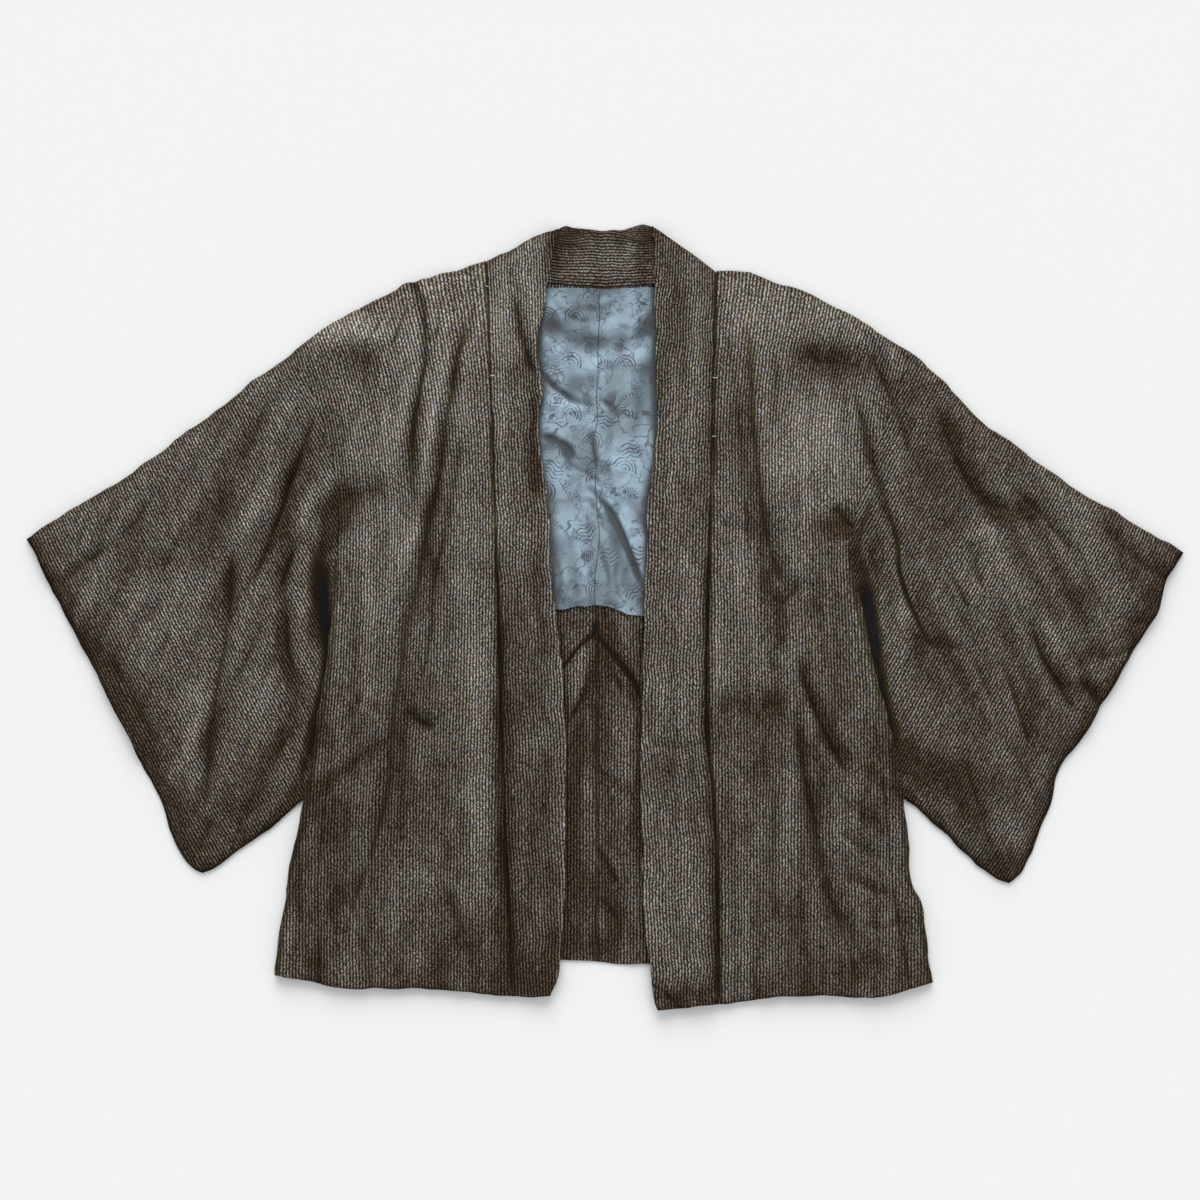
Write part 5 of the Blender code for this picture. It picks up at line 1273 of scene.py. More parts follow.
# %% [markdown]
# Between the motifs run long drifting ground lines, which are the height lines of slow noise,
# and in places there are clumps of undergrowth: height lines of quick noise, close together.
# %% Lining: ground lines and undergrowth
GROUND_LINES = ((0.02, 0.52), (0.034, 0.46))    # waves for each mm, and the height that is drawn
GROUND_INK = (0.013, 0.004, 0.0, 0.8)           # distance in height where ink starts and is full
CLUMP_CELLS, CLUMP_RANGE = 0.045, (0.53, 0.6)
SCRIBBLE_CELLS, SCRIBBLE_LINES = 0.22, 9.0      # lines from the lowest to the highest noise
SCRIBBLE_INK = (0.3, 0.12, 0.0, 0.9)
for scale, level in GROUND_LINES:
    ground_line = add(printed, "TexNoise", {"Vector": silk_mm, "Scale": scale, "Detail": 3.0},
                      noise_dimensions="2D")
    ground_line = add(printed, "Math", [ground_line, level], operation="SUBTRACT")
    ground_line = add(printed, "Math", [ground_line], operation="ABSOLUTE")
    ground_line = add(printed, "MapRange", [ground_line, *GROUND_INK])
    drawn = add(printed, "Math", [drawn, ground_line], operation="MAXIMUM")
clump = add(printed, "TexNoise", {"Vector": silk_mm, "Scale": CLUMP_CELLS, "Detail": 1.0},
            noise_dimensions="2D")
clump = add(printed, "MapRange", [clump, *CLUMP_RANGE, 0.0, 1.0])
scribble = add(printed, "TexNoise", {"Vector": silk_mm, "Scale": SCRIBBLE_CELLS, "Detail": 1.5},
               noise_dimensions="2D")
scribble = add(printed, "Math", [scribble, SCRIBBLE_LINES], operation="MULTIPLY")
scribble = add(printed, "Math", [scribble], operation="FRACT")
scribble = add(printed, "Math", [scribble, 0.5], operation="SUBTRACT")
scribble = add(printed, "Math", [scribble], operation="ABSOLUTE")
scribble = add(printed, "MapRange", [scribble, *SCRIBBLE_INK])
scribble = add(printed, "Math", [scribble, clump], operation="MULTIPLY")
drawn = add(printed, "Math", [drawn, scribble], operation="MAXIMUM")
print("ground lines:", len(GROUND_LINES), "sets, and clumps of undergrowth")

# %% [markdown]
# The ground runs from blue to grey, the ink has faded here and there, and a dark line marks
# the centre seam, which is where the cloth's own x is 0. Troughs and the lining's shade map
# get painted shade, as in the crepe. The eye gets a smooth, thin cloth with a soft gleam, whose
# threads show only from close by.
# %% Lining: colours and surface
SILK, SILK_GREY, INK = "#a6c0d0", "#92a2ae", "#3c4652"
# painted shade: the dark grey that troughs and the shade map mix the silk towards
SILK_TROUGH = "#393b3d"
FADED_CELLS, FADED_RANGE = 0.06, (0.28, 0.6, 0.4, 1.0)  # from that noise to this strength of ink
TONE_CELLS, TONE_RANGE = 0.03, (0.35, 0.7)
SEAM_INK = (0.9, 0.3, 0.0, 0.45)        # mm from the centre seam, and how dark it goes
HOLLOW_SHARE = 0.9                      # how much a crease adds to the painted shade
TROUGH_RANGE = (0.0, 1.5, 0.0, 0.92)
THREAD_CELLS, THREAD_BUMP, THREAD_HEIGHT = 0.9, 0.35, 0.4 * MM
SILK_SURFACE = (("Roughness", 0.58), ("Specular IOR Level", 0.3), ("Sheen Weight", 0.15))
faded = add(printed, "TexNoise", {"Vector": silk_mm, "Scale": FADED_CELLS, "Detail": 2.0},
            noise_dimensions="2D")
faded = add(printed, "MapRange", [faded, *FADED_RANGE])
tone = add(printed, "TexNoise", {"Vector": silk_mm, "Scale": TONE_CELLS, "Detail": 3.0},
           noise_dimensions="2D")
tone = add(printed, "MapRange", [tone, *TONE_RANGE, 0.0, 1.0])
colour = add(printed, "Mix", {0: tone, 6: linear(SILK), 7: linear(SILK_GREY)}, out=2, data_type="RGBA")
ink = add(printed, "Math", [drawn, faded], operation="MULTIPLY")
colour = add(printed, "Mix", {0: ink, 6: colour, 7: linear(INK)}, out=2, data_type="RGBA")
seam = add(printed, "SeparateXYZ", [silk_mm], out="X")
seam = add(printed, "Math", [seam], operation="ABSOLUTE")
seam = add(printed, "MapRange", [seam, *SEAM_INK])
colour = add(printed, "Mix", {0: seam, 6: colour, 7: linear(INK)}, out=2, data_type="RGBA")
# painted shade on the silk from crease depth and the shade map
silk_hollow = add(printed, "Attribute", {}, out="Fac", attribute_name="hollow")
silk_shade = add(printed, "Attribute", {}, out="Fac", attribute_name="shade")
silk_dark = add(printed, "Math", [silk_hollow, HOLLOW_SHARE, silk_shade], operation="MULTIPLY_ADD")
silk_dark = add(printed, "MapRange", [silk_dark, *TROUGH_RANGE], interpolation_type="SMOOTHSTEP")
colour = add(printed, "Mix", {0: silk_dark, 6: colour, 7: linear(SILK_TROUGH)}, out=2, data_type="RGBA")
thread = add(printed, "TexNoise", {"Vector": silk_mm, "Scale": THREAD_CELLS, "Detail": 1.0},
             noise_dimensions="2D")
bump = add(printed, "Bump", {"Strength": THREAD_BUMP, "Distance": THREAD_HEIGHT, "Height": thread})
silk_surface = printed.nodes["Principled BSDF"]
printed.links.new(colour, silk_surface.inputs["Base Color"])
printed.links.new(bump, silk_surface.inputs["Normal"])
for name, value in SILK_SURFACE:
    silk_surface.inputs[name].default_value = value
print("lining nodes:", len(printed.nodes))

# %% [markdown]
# ## Sheets of cloth
# Every piece is a closed thin shell: an outer grid, an inner grid one cloth's thickness
# below, and a rim that joins them. It is written straight into a mesh, since a sheet with
# tens of thousands of faces has one rule for all of them.
# %% Shell builder
SHELL, LINING, COLLAR = 1.2, 1.0, 2.6       # thickness of each cloth with its turned edges
SHARP_ANGLE = math.radians(55)              # an edge that turns more than this is a sharp one
Station = namedtuple("Station", "outer inner tone")     # one line of points across a sheet


def shell(name, stations, uv, material):
    """Closed shell from its stations, and a UV map in metres of cloth."""
    outer = np.array([station.outer for station in stations])
    inner = np.array([station.inner for station in stations])
    tone = np.array([station.tone for station in stations])
    rows, columns = tone.shape[:2]
    count = rows * columns
    index = np.arange(count).reshape(rows, columns)
    front = np.stack([index[:-1, :-1], index[:-1, 1:], index[1:, 1:], index[1:, :-1]], axis=-1)
    front = front.reshape(-1, 4)
    ring = np.concatenate([index[0, :-1], index[:-1, -1], index[-1, :0:-1], index[:0:-1, 0]])
    after = np.roll(ring, -1)
    rim = np.stack([after, ring, ring + count, after + count], axis=-1)
    faces = np.concatenate([front, front[:, ::-1] + count, rim])
    points = np.concatenate([outer.reshape(-1, 3), inner.reshape(-1, 3)])
    points[:, :2] -= MIDDLE
    points *= MM
    corner = points[faces]
    volume = sum(np.einsum("ij,ij->", corner[:, 0], np.cross(corner[:, k], corner[:, k + 1]))
                 for k in (1, 2))
    if volume < 0:              # faces that look inwards
        faces = faces[:, ::-1]

    mesh = bpy.data.meshes.new(name)
    mesh.vertices.add(len(points))
    mesh.vertices.foreach_set("co", points.ravel())
    mesh.loops.add(faces.size)
    mesh.loops.foreach_set("vertex_index", faces.ravel().astype(np.int32))
    mesh.polygons.add(len(faces))
    mesh.polygons.foreach_set("loop_start", np.arange(0, faces.size, 4, dtype=np.int32))
    mesh.update(calc_edges=True)
    both = np.concatenate([np.array(uv).reshape(-1, 2)] * 2)
    mesh.uv_layers.new(name="cloth").data.foreach_set("uv", both[faces.ravel()].ravel() * MM)
    # these attributes carry the painted shade of creases and the broad painted light and shade
    for channel, kind in enumerate(("hollow", "shade")):
        values = mesh.attributes.new(kind, "FLOAT", "POINT")
        values.data.foreach_set("value", np.concatenate([tone[..., channel].ravel()] * 2))
    mesh.validate()
    mesh.shade_smooth()
    mesh.set_sharp_from_angle(angle=SHARP_ANGLE)
    mesh.materials.append(material)
    piece = bpy.data.objects.new(name, mesh)
    bpy.context.scene.collection.objects.link(piece)
    print(name, "triangles", 2 * len(faces))
    return piece


print("cloth with its turned edges:", SHELL, "mm, lining:", LINING, "mm, collar:", COLLAR, "mm thick")

# %% [markdown]
# A sheet is laid row by row. A row knows its plan, its height and its tone. Ends are drawn in by
# half a seam's gap, and where the back turns into the front, stations run round the fold.
# Where a sleeve runs under the body, the body is raised by its thickness.
# %% Rows and folded edges
SEAM_GAP = 0.3
HALF_GAP = SEAM_GAP / 2
FRONT_BASE = COLLAR + SEAM_GAP              # underside of the front layer above the ground
SEWN_BASE = SHELL + SEAM_GAP                # the same along a sleeve's sewn edges
TUCK_LIFT = SEWN_BASE + SHELL + SEAM_GAP    # body raised where a sleeve runs under it
TUCK_X = (195.0, 225.0, 305.0, 338.0)       # where it starts to rise, is up, starts to sink, is down
TUCK_Y = (-255.0, -215.0, 62.0, 98.0)
FOLD_STEPS = 7                              # stations round a fold


def tucked(x, y):
    """1 over a sleeve's hidden corner and 0 away from it."""
    reach = np.abs(x)
    return (ramp(reach, TUCK_X[0], TUCK_X[1]) * ramp(-reach, -TUCK_X[3], -TUCK_X[2])
            * ramp(y, TUCK_Y[0], TUCK_Y[1]) * ramp(-y, -TUCK_Y[3], -TUCK_Y[2]))


def pulled_in(grid, first=0.0, last=0.0):
    """Rows with their end points drawn in, which leaves the gap of a seam."""
    moved = grid.copy()
    for end, beside, distance in ((0, 1, first), (-1, -2, last)):
        inward = grid[..., beside, :] - grid[..., end, :]
        moved[..., end, :] += inward / np.linalg.norm(inward, axis=-1, keepdims=True) * distance
    return moved


def lying(row, heights, wall, tone, outer_above):
    """Station of a row of cloth that lies at these heights (of its underside)."""
    low = np.column_stack([row, heights])
    high = np.column_stack([row, heights + wall])
    return Station(high, low, tone) if outer_above else Station(low, high, tone)


def outward(row, before, after):
    """Unit vectors that point away from the cloth along its folded upper edge."""
    reach = np.vstack([before, row, after])
    run = reach[2:] - reach[:-2]
    normal = np.column_stack([-run[:, 1], run[:, 0]]) / np.linalg.norm(run, axis=1, keepdims=True)
    return np.where(normal[:, 1:] > 0, normal, -normal)


def folded_edge(row, directions, low, high, wall, tone):
    """Stations round the edge where a back layer turns into a front layer."""
    stations = []
    radius = (high + wall - low) / 2
    middle = np.column_stack([row, low + radius])
    for step in range(1, FOLD_STEPS + 1):
        angle = math.pi * step / (FOLD_STEPS + 1)
        ray = np.column_stack([directions * math.sin(angle), np.full(len(row), -math.cos(angle))])
        outer, inner = (middle + ray * reach[:, None] for reach in (radius, radius - wall))
        stations.append(Station(outer, inner, tone))
    return stations


print("body raised", TUCK_LIFT, "mm over the sleeves")

# %% [markdown]
# ## The back layer
# The back lies flat on the table, so it has only faint creases. Between the two collar
# strips it shows its inner face, with a few folds of its own, and above that the lining.
# %% Creases of the back and the lining
BACK_CREASES = (
    (6, 2.6, 0.8, 0.8, (-10, -8, -18, -34, -26, -64, -34, -98, -42, -130)),
    (6, 2.6, 1.4, 1.2, (-9, -10, -2, -23, 15, -43, 30, -64, 36, -84)),
    (5, 2.4, 0.8, 0.8, (-14, -58, -24, -100, -34, -160, -38, -220, -38, -264, -32, -350)),
    (5, 2, 0.8, 0.8, (-4, -266, 8, -290, 14, -324, 16, -360)),
    (4, 1.6, 0.6, 0.6, (10, -110, 14, -150, 12, -190, 16, -230)),
    (3.4, 1.4, 1, 0.8, (-8, -120, 8, -128, 26, -144)),
    (4, 1.6, 1.4, 1, (-9, -149, 10, -160, 30, -176)),
    (3.4, 1.4, 1, 0.8, (-9, -190, 6, -200, 24, -216)),
    (4, 1.8, 1.6, 1, (-10, -222, 0, -240, 15, -266)),
    (4, 1.8, 1.6, 1, (-10, -277, 2, -286, 12, -298, 15, -320)),
)
BACK_LINES = (          # width, darkness, path: the centre seam's slit, and painted shade in the bottoms of its folds
    (1.4, 2.7, (CENTRE_SEAM_X, 40, CENTRE_SEAM_X, -140, CENTRE_SEAM_X, -383)),
    (1.9, 3.6, (-9, 3, -9, -12, -2, -23, 15, -43, 30, -64, 38, -90)),
    (1.8, 3.2, (-9, 3, -10, -13, -20, -23, -30, -33, -46, -56)),
    (1.6, 2.2, (-9, -28, 2, -44, 12, -60, 22, -78)), (1.6, 2.4, (-9, -45, -19, -70, -36, -104)),
    (1.6, 2.2, (-9, -220, 0, -240, 16, -270)), (1.6, 2.2, (-9, -275, 4, -287, 15, -303)),
)
LINING_CREASES = (
    (3, 1.2, 0.4, 0.2, (-34, 316, -18, 311, -6, 310, 16, 318)),
    (7, 2.6, 0.8, 0.3, (-66, 304, -49, 287, -29, 273, -4, 267, 21, 271, 41, 285, 51, 299)),
    (2.5, 1.4, 0.5, 0.3, (-58, 326, -40, 306, -24, 298, -8, 300)),
    (2.2, 1.2, 0.4, 0.3, (46, 322, 34, 306, 22, 300)),
    (3.2, 3.6, 1, 0.4, (-70, 252, -56, 237, -46, 228, -33, 219, -14, 212)),
    (2.2, 1.4, 0.4, 0.3, (-66, 236, -52, 222, -38, 212)),
    (3, 2.6, 0.8, 0.4, (-8, 224, 0, 216, 8, 210, 16, 198)),
    (2.2, 1.4, 0.4, 0.3, (22, 226, 14, 214, 4, 204)),
    (3.2, 3.2, 1, 0.4, (-68, 184, -50, 179, -37, 170, -30, 156)),
    (2.2, 1.6, 0.4, 0.3, (-46, 172, -36, 158, -24, 148, -12, 146)),
    (2.6, 2, 0.6, 0.4, (-14, 190, -10, 170, -6, 150)),
    (5, 1.8, 0.6, 0.3, (-2, 157, 8, 144, 24, 140)),
    (2.8, 5, 2.6, 0.4, (-22, 124, -14, 130, -2, 118, 11, 98, 21, 76, 30, 54, 38, 28)),
    (2.4, 2.2, 0.8, 0.3, (-26, 112, -18, 118, -10, 110, -4, 98, 0, 84)),
    (4, 2, 0.6, 0.4, (10, 135, 22, 124, 30, 109, 42, 94)),
    (5, 1.8, 0.5, 0.5, (-42, 112, -36, 84, -31, 50, -26, 14)),
    (2.4, 1.4, 0.4, 0.4, (-8, 84, -2, 62, 4, 44, 6, 24)),
    (2.4, 1.4, 0.4, 0.4, (14, 60, 10, 40, 16, 22)),
    (3, 1.4, 0.4, 0.3, (-60, 290, -46, 276, -36, 262, -30, 250)),
    (2.2, 1.2, 0.4, 0.4, (-48, 60, -44, 40, -46, 18)),
)
print("creases of the back and the lining:", len(BACK_CREASES) + len(LINING_CREASES))

# %% [markdown]
# The back is finished like the outside. Only its open part, between the collar strips, may
# rise, because the front lies on the rest. The lining's edges run down to nothing.
# %% Relief of the back and the lining
LINING_LOFT, BACK_LOFT = 1.9, 0.9
BACK_SEED, LINING_SEED = 600, 700
BACK_GRAIN = 0.5                # share of the crepe's wrinkles that the flat back keeps
COVERED_SHARE, COVERED_MOST = 0.5, 1.3      # how much the back may rise under the front layer
OPEN_LEFT, OPEN_RIGHT, OPEN_BOTTOM = (-50.0, -34.0), (-46.0, -30.0), (-395.0, -385.0)
SILK_LEFT, SILK_RIGHT = (-72.0, -58.0), (-66.0, -46.0)  # ramps are along x, -x and -y
SILK_WRINKLES = ((0.3, 71, 9.0, 22.0, 0.8), (0.13, 72, 2.6, 8.0, -0.7))     # mm high, seed, sizes, lean
back_relief = new_relief(BACK_LOFT, BACK_GRAIN * cloth_grain)
for number, crease in enumerate(BACK_CREASES):
    press(back_relief, crease, BACK_SEED + number)
for width, dark, path in BACK_LINES:
    draw_line(back_relief, path, width, dark)
open_back = ramp(map_x, *OPEN_LEFT) * ramp(-map_x, *OPEN_RIGHT) * ramp(-map_y, *OPEN_BOTTOM)
back_height = not_below_ground(back_relief[0])
covered = np.minimum(COVERED_SHARE * back_height, COVERED_MOST)
back_height = open_back * back_height + (1 - open_back) * covered
silk_grain = sum(high * wrinkles(seed, across, along, 1.0, lean)
                 for high, seed, across, along, lean in SILK_WRINKLES)
lining_relief = new_relief(LINING_LOFT, silk_grain)
for number, crease in enumerate(LINING_CREASES):
    press(lining_relief, crease, LINING_SEED + number)
lining_height = not_below_ground(lining_relief[0]) * ramp(map_x, *SILK_LEFT) * ramp(-map_x, *SILK_RIGHT)
back_hollow = hollowness(back_height, back_relief[1])
lining_hollow = hollowness(lining_height, lining_relief[1])
print("back up to", back_height.max().round(1), "mm, lining up to", lining_height.max().round(1), "mm")

# %% [markdown]
# Each layer lies on the one below. These functions give its underside at any point in plan.
# %% Heights and tones of every layer


def back_z(x, y):
    """Underside of the body's back layer."""
    return TUCK_LIFT * tucked(x, y) + read_map(back_height, x, y) * (1 - tucked(x, y))


def tone_of(hollow, shade, row):
    """Crease depth and painted shade under each point of a row, from which the material paints shade."""
    return np.column_stack([read_map(hollow, *row.T), read_map(shade, *row.T)])


def front_z(x, y):
    """Underside of the body's front layer."""
    return FRONT_BASE + TUCK_LIFT * tucked(x, y) + read_map(body_height, x, y)


def sleeve_z(x, y, sewn):
    """Underside of a sleeve's front layer; sewn is 1 along the sewn edges."""
    free = (1 - tucked(x, y)) * (1 - sewn)
    return SEWN_BASE + (FRONT_BASE - SEWN_BASE + read_map(sleeve_height, x, y)) * free


LEFT_FRONT = np.array([-230.0, 0.0])        # a point in its middle
print("left front's underside:", front_z(*LEFT_FRONT[:, None]).round(1), "mm")

# %% [markdown]
# ## Body
# One length of cloth for each half. Its back grid and its front grid are joined by stations
# that run round the shoulder fold. The back is coarser, because it is flat.
# %% Body pieces
BODY_COLUMNS = 92
ROWS_SIDE, ROWS_ARMHOLE = 200, 138          # front rows up to the armpit, and up to the shoulder
BACK_SIDE, BACK_ARMHOLE, BACK_NECK = 132, 38, 12
SPLIT_FINE = 400                # steps in which the place of a split is sought


def below_and_above(table, side, split_y, steps_below, steps_above):
    """A rising curve in two runs of equal steps that meet at the height split_y."""
    fine = edge_curve(table, side, SPLIT_FINE)
    split = np.abs(fine[:, 1] - split_y).argmin()
    return np.vstack([evenly(fine[:split + 1], steps_below), evenly(fine[split:], steps_above)[1:]])


def neighbours(side):
    """The points just past the two ends of the shoulder fold."""
    return half(COLLAR_EDGE, side)[-1], half(SLEEVE_TOP, side)[1]


def body(side):
    shoulder = edge_curve(SHOULDER, side, BODY_COLUMNS)
    collar_seam = below_and_above(COLLAR_SEAM, side, COLLAR_SPLIT_Y, ROWS_SIDE, ROWS_ARMHOLE)
    outer = np.vstack([edge_curve(GUSSET_SEAM, side, ROWS_SIDE),
                       edge_curve(ARMHOLE, side, ROWS_ARMHOLE)[1:]])
    front = patch(edge_curve(FRONT_HEM, side, BODY_COLUMNS), shoulder, collar_seam, outer)
    front += drift(front)
    centre = np.array([CENTRE_SEAM_X, BACK_SPLIT_Y]), np.array([CENTRE_SEAM_X, NECKLINE_Y])
    hem = edge_curve(BACK_HEM, side, BODY_COLUMNS)
    inner = np.vstack([evenly(np.vstack([hem[0], centre[0]]), BACK_SIDE),
                       evenly(np.vstack(centre), BACK_ARMHOLE - BACK_NECK)[1:],
                       edge_curve(NECKLINE, side, BACK_NECK)[1:]])
    outer = np.vstack([edge_curve(GUSSET_SEAM, side, BACK_SIDE),
                       edge_curve(ARMHOLE, side, BACK_ARMHOLE)[1:]])
    back = patch(hem, shoulder, inner, outer)
    back += drift(back)
    back, front = (pulled_in(grid, HALF_GAP, HALF_GAP) for grid in (back, front))

    stations = [lying(row, back_z(*row.T), SHELL, tone_of(back_hollow, back_shade, row), False)
                for row in back]
    edge = front[-1]
    stations += folded_edge(edge, outward(edge, *neighbours(side)), back_z(*edge.T), front_z(*edge.T),
                            SHELL, tone_of(body_hollow, outside_shade, edge))
    stations += [lying(row, front_z(*row.T), SHELL, tone_of(body_hollow, outside_shade, row), True)
                 for row in front[::-1]]
    plan = np.array([station.outer[:, :2] for station in stations])
    return shell(f"crepe_body_{side}", stations, fanned(plan), crepe)


bodies = {side: body(side) for side in SIDES}
print("rows of a body's front:", ROWS_SIDE + ROWS_ARMHOLE)

# %% [markdown]
# ## Side gussets
# The wedge at each side is folded along its middle, so it makes the jacket's side edge. Its
# stations run across, from the back seam round the fold to the front seam.
# %% Gusset pieces
GUSSET_ROWS, GUSSET_ACROSS = 160, 12


def gusset(side):
    seam, fold = edge_curve(GUSSET_SEAM, side, GUSSET_ROWS), edge_curve(SIDE_FOLD, side, GUSSET_ROWS)
    seam[-1], fold[-1] = (below + (tip - below) * GUSSET_TIP for below, tip in (seam[-2:], fold[-2:]))
    share = np.linspace(0.0, 1.0, GUSSET_ACROSS + 1)[:, None]
    stations, uv = [], []
    for inner, outer in zip(seam, fold):
        row = pulled_in(inner + (outer - inner) * share, HALF_GAP)
        row += drift(row)
        direction = (outer - inner) / np.hypot(*(outer - inner))
        tone = tone_of(body_hollow, outside_shade, row)
        back = lying(row, back_z(*row.T), SHELL, tone, False)
        front = lying(row, front_z(*row.T), SHELL, tone, True)
        edge = row[-1:]
        turn = folded_edge(edge, direction[None], back_z(*edge.T), front_z(*edge.T), SHELL, tone[-1:])
        stations.append(Station(
            np.vstack([back.outer] + [t.outer for t in turn] + [front.outer[::-1]]),
            np.vstack([back.inner] + [t.inner for t in turn] + [front.inner[::-1]]),
            np.concatenate([back.tone] + [t.tone for t in turn] + [front.tone[::-1]])))
        uv.append(fanned(stations[-1].outer[:, :2]))
    return shell(f"crepe_gusset_{side}", stations, uv, crepe)


gussets = {side: gusset(side) for side in SIDES}
print("rows of a gusset:", GUSSET_ROWS)

# %% [markdown]
# ## Sleeves
# One width of cloth folded along the top. Its stripes keep parallel to the cuff, so its UV
# map is turned by the slant at which the sleeve lies.
# %% Sleeve pieces
SLEEVE_COLUMNS = 156
SLEEVE_FREE_ROWS, SLEEVE_ARM_ROWS = 92, 96
BACK_EVERY = 4                  # the back layer keeps every fourth row
CUFF_OPEN_FROM = 0.36           # share of the cuff, from its rounded corner, that is sewn
CUFF_OPENS_OVER = 0.03          # and the share on each side of it over which that ends
BACK_RISE = 1.0                 # mm that its back layer may rise
SEWN_WIDTH = 0.06               # share of the sleeve that slopes down to a sewn edge


def sleeve(side):
    inner = np.vstack([edge_curve(SLEEVE_FREE, side, SLEEVE_FREE_ROWS),
                       edge_curve(ARMHOLE, side, SLEEVE_ARM_ROWS)[1:]])
    rows = len(inner) - 1
    bottom, top = (edge_curve(table, side, SLEEVE_COLUMNS) for table in (SLEEVE_BOTTOM, SLEEVE_TOP))
    grid = pulled_in(patch(bottom, top, inner, edge_curve(CUFF, side, rows)), HALF_GAP)
    grid += drift(grid)
    up = np.linspace(0.0, 1.0, rows + 1)[:, None]
    from_cuff = 1 - np.linspace(0.0, 1.0, SLEEVE_COLUMNS + 1)[None]
    sewn = 1 - ramp(up, 0.0, SEWN_WIDTH)
    closed = 1 - ramp(up, CUFF_OPEN_FROM - CUFF_OPENS_OVER, CUFF_OPEN_FROM + CUFF_OPENS_OVER)
    sewn = np.maximum(sewn, (1 - ramp(from_cuff, 0.0, SEWN_WIDTH)) * closed)
    x, y = grid[..., 0], grid[..., 1]
    front = sleeve_z(x, y, sewn)
    flat = np.minimum(read_map(back_height, x, y), BACK_RISE) * (1 - tucked(x, y)) * (1 - sewn)
    tone = np.stack([read_map(sleeve_hollow, x, y), read_map(outside_shade, x, y)], axis=-1)

    lower = list(range(0, rows, BACK_EVERY)) + [rows]
    stations = [lying(grid[j], flat[j], SHELL, tone[j], False) for j in lower]
    edge = grid[-1]
    directions = outward(edge, half(SHOULDER, side)[-2], 2 * edge[-1] - edge[-2])
    stations += folded_edge(edge, directions, flat[-1], front[-1], SHELL, tone[-1])
    stations += [lying(grid[j], front[j], SHELL, tone[j], True) for j in range(rows, -1, -1)]
    plan = np.array([station.outer[:, :2] for station in stations])
    lean = SLEEVE_LEAN if side == "left" else -SLEEVE_LEAN
    turned = plan @ np.array([[math.cos(lean), -math.sin(lean)], [math.sin(lean), math.cos(lean)]])
    return shell(f"crepe_sleeve_{side}", stations, turned, crepe)


sleeves = {side: sleeve(side) for side in SIDES}
print("rows of a sleeve's front:", SLEEVE_FREE_ROWS + SLEEVE_ARM_ROWS)

# %% [markdown]
# ## Collar
# A strip folded double, so it is thick, with a round free edge and a dip at its seam. It runs
# up the left front, over the shoulder, behind the neck, and down the right front.
# %% Collar rows
COLLAR_COLUMNS = 28
NECK_STEPS = 24
EDGE_ROUND = 2.2                # mm over which the free edge rounds off
THINNEST = 0.12                 # square of the share of its thickness that is left at the edge
FOLD_BULGE = 0.35               # share of a round fold that the collar's fold at the neck bulges
CORNER_FROM, CORNER_LOSS = 0.6, 0.7     # it goes flatter still towards the free edge
# how far along the strip its neck part starts and ends, and where the right front would reach
# the level of the frame's middle, in mm
NECK_FROM, NECK_TO, STRIP_END = 357.0, 587.0, 934.0


def collar_front(side):
    """Rows of one front strip, hem to neck, each from the seam to the free edge."""
    seam = below_and_above(COLLAR_SEAM, side, COLLAR_SPLIT_Y, ROWS_SIDE, ROWS_ARMHOLE)
    edge = edge_curve(COLLAR_EDGE, side, len(seam) - 1)
    share = np.linspace(0.0, 1.0, COLLAR_COLUMNS + 1)[None, :, None]
    rows = pulled_in(seam[:, None] * (1 - share) + edge[:, None] * share, HALF_GAP)
    return rows + drift(rows)


def collar_neck(side):
    """Rows behind the neck, from the centre to one shoulder."""
    low = edge_curve(NECKLINE, side, NECK_STEPS) + [0.0, SEAM_GAP]
    high = edge_curve(NECK_TOP, side, NECK_STEPS)
    share = np.linspace(0.0, 1.0, COLLAR_COLUMNS + 1)[None, :, None]
    rows = low[:, None] * (1 - share) + high[:, None] * share
    return rows + drift(rows)


def rounded(station):
    """The station with both corners of its free edge drawn round."""
    outer, inner = station.outer.copy(), station.inner.copy()
    middle = (outer[:, 2] + inner[:, 2]) / 2
    from_edge = np.linalg.norm(outer[:, :2] - outer[-1, :2], axis=1)
    full = np.sqrt(np.clip(1 - (1 - np.clip(from_edge / EDGE_ROUND, 0, 1)) ** 2, THINNEST, 1))
    for face in (outer, inner):
        face[:, 2] = middle + (face[:, 2] - middle) * full
    return Station(outer, inner, station.tone)


print("points across the collar:", COLLAR_COLUMNS + 1)

# %% [markdown]
# The strip's stations follow one another: up the left front, round its fold at the shoulder,
# behind the neck, round the other fold, and down the right front.
# %% Collar piece


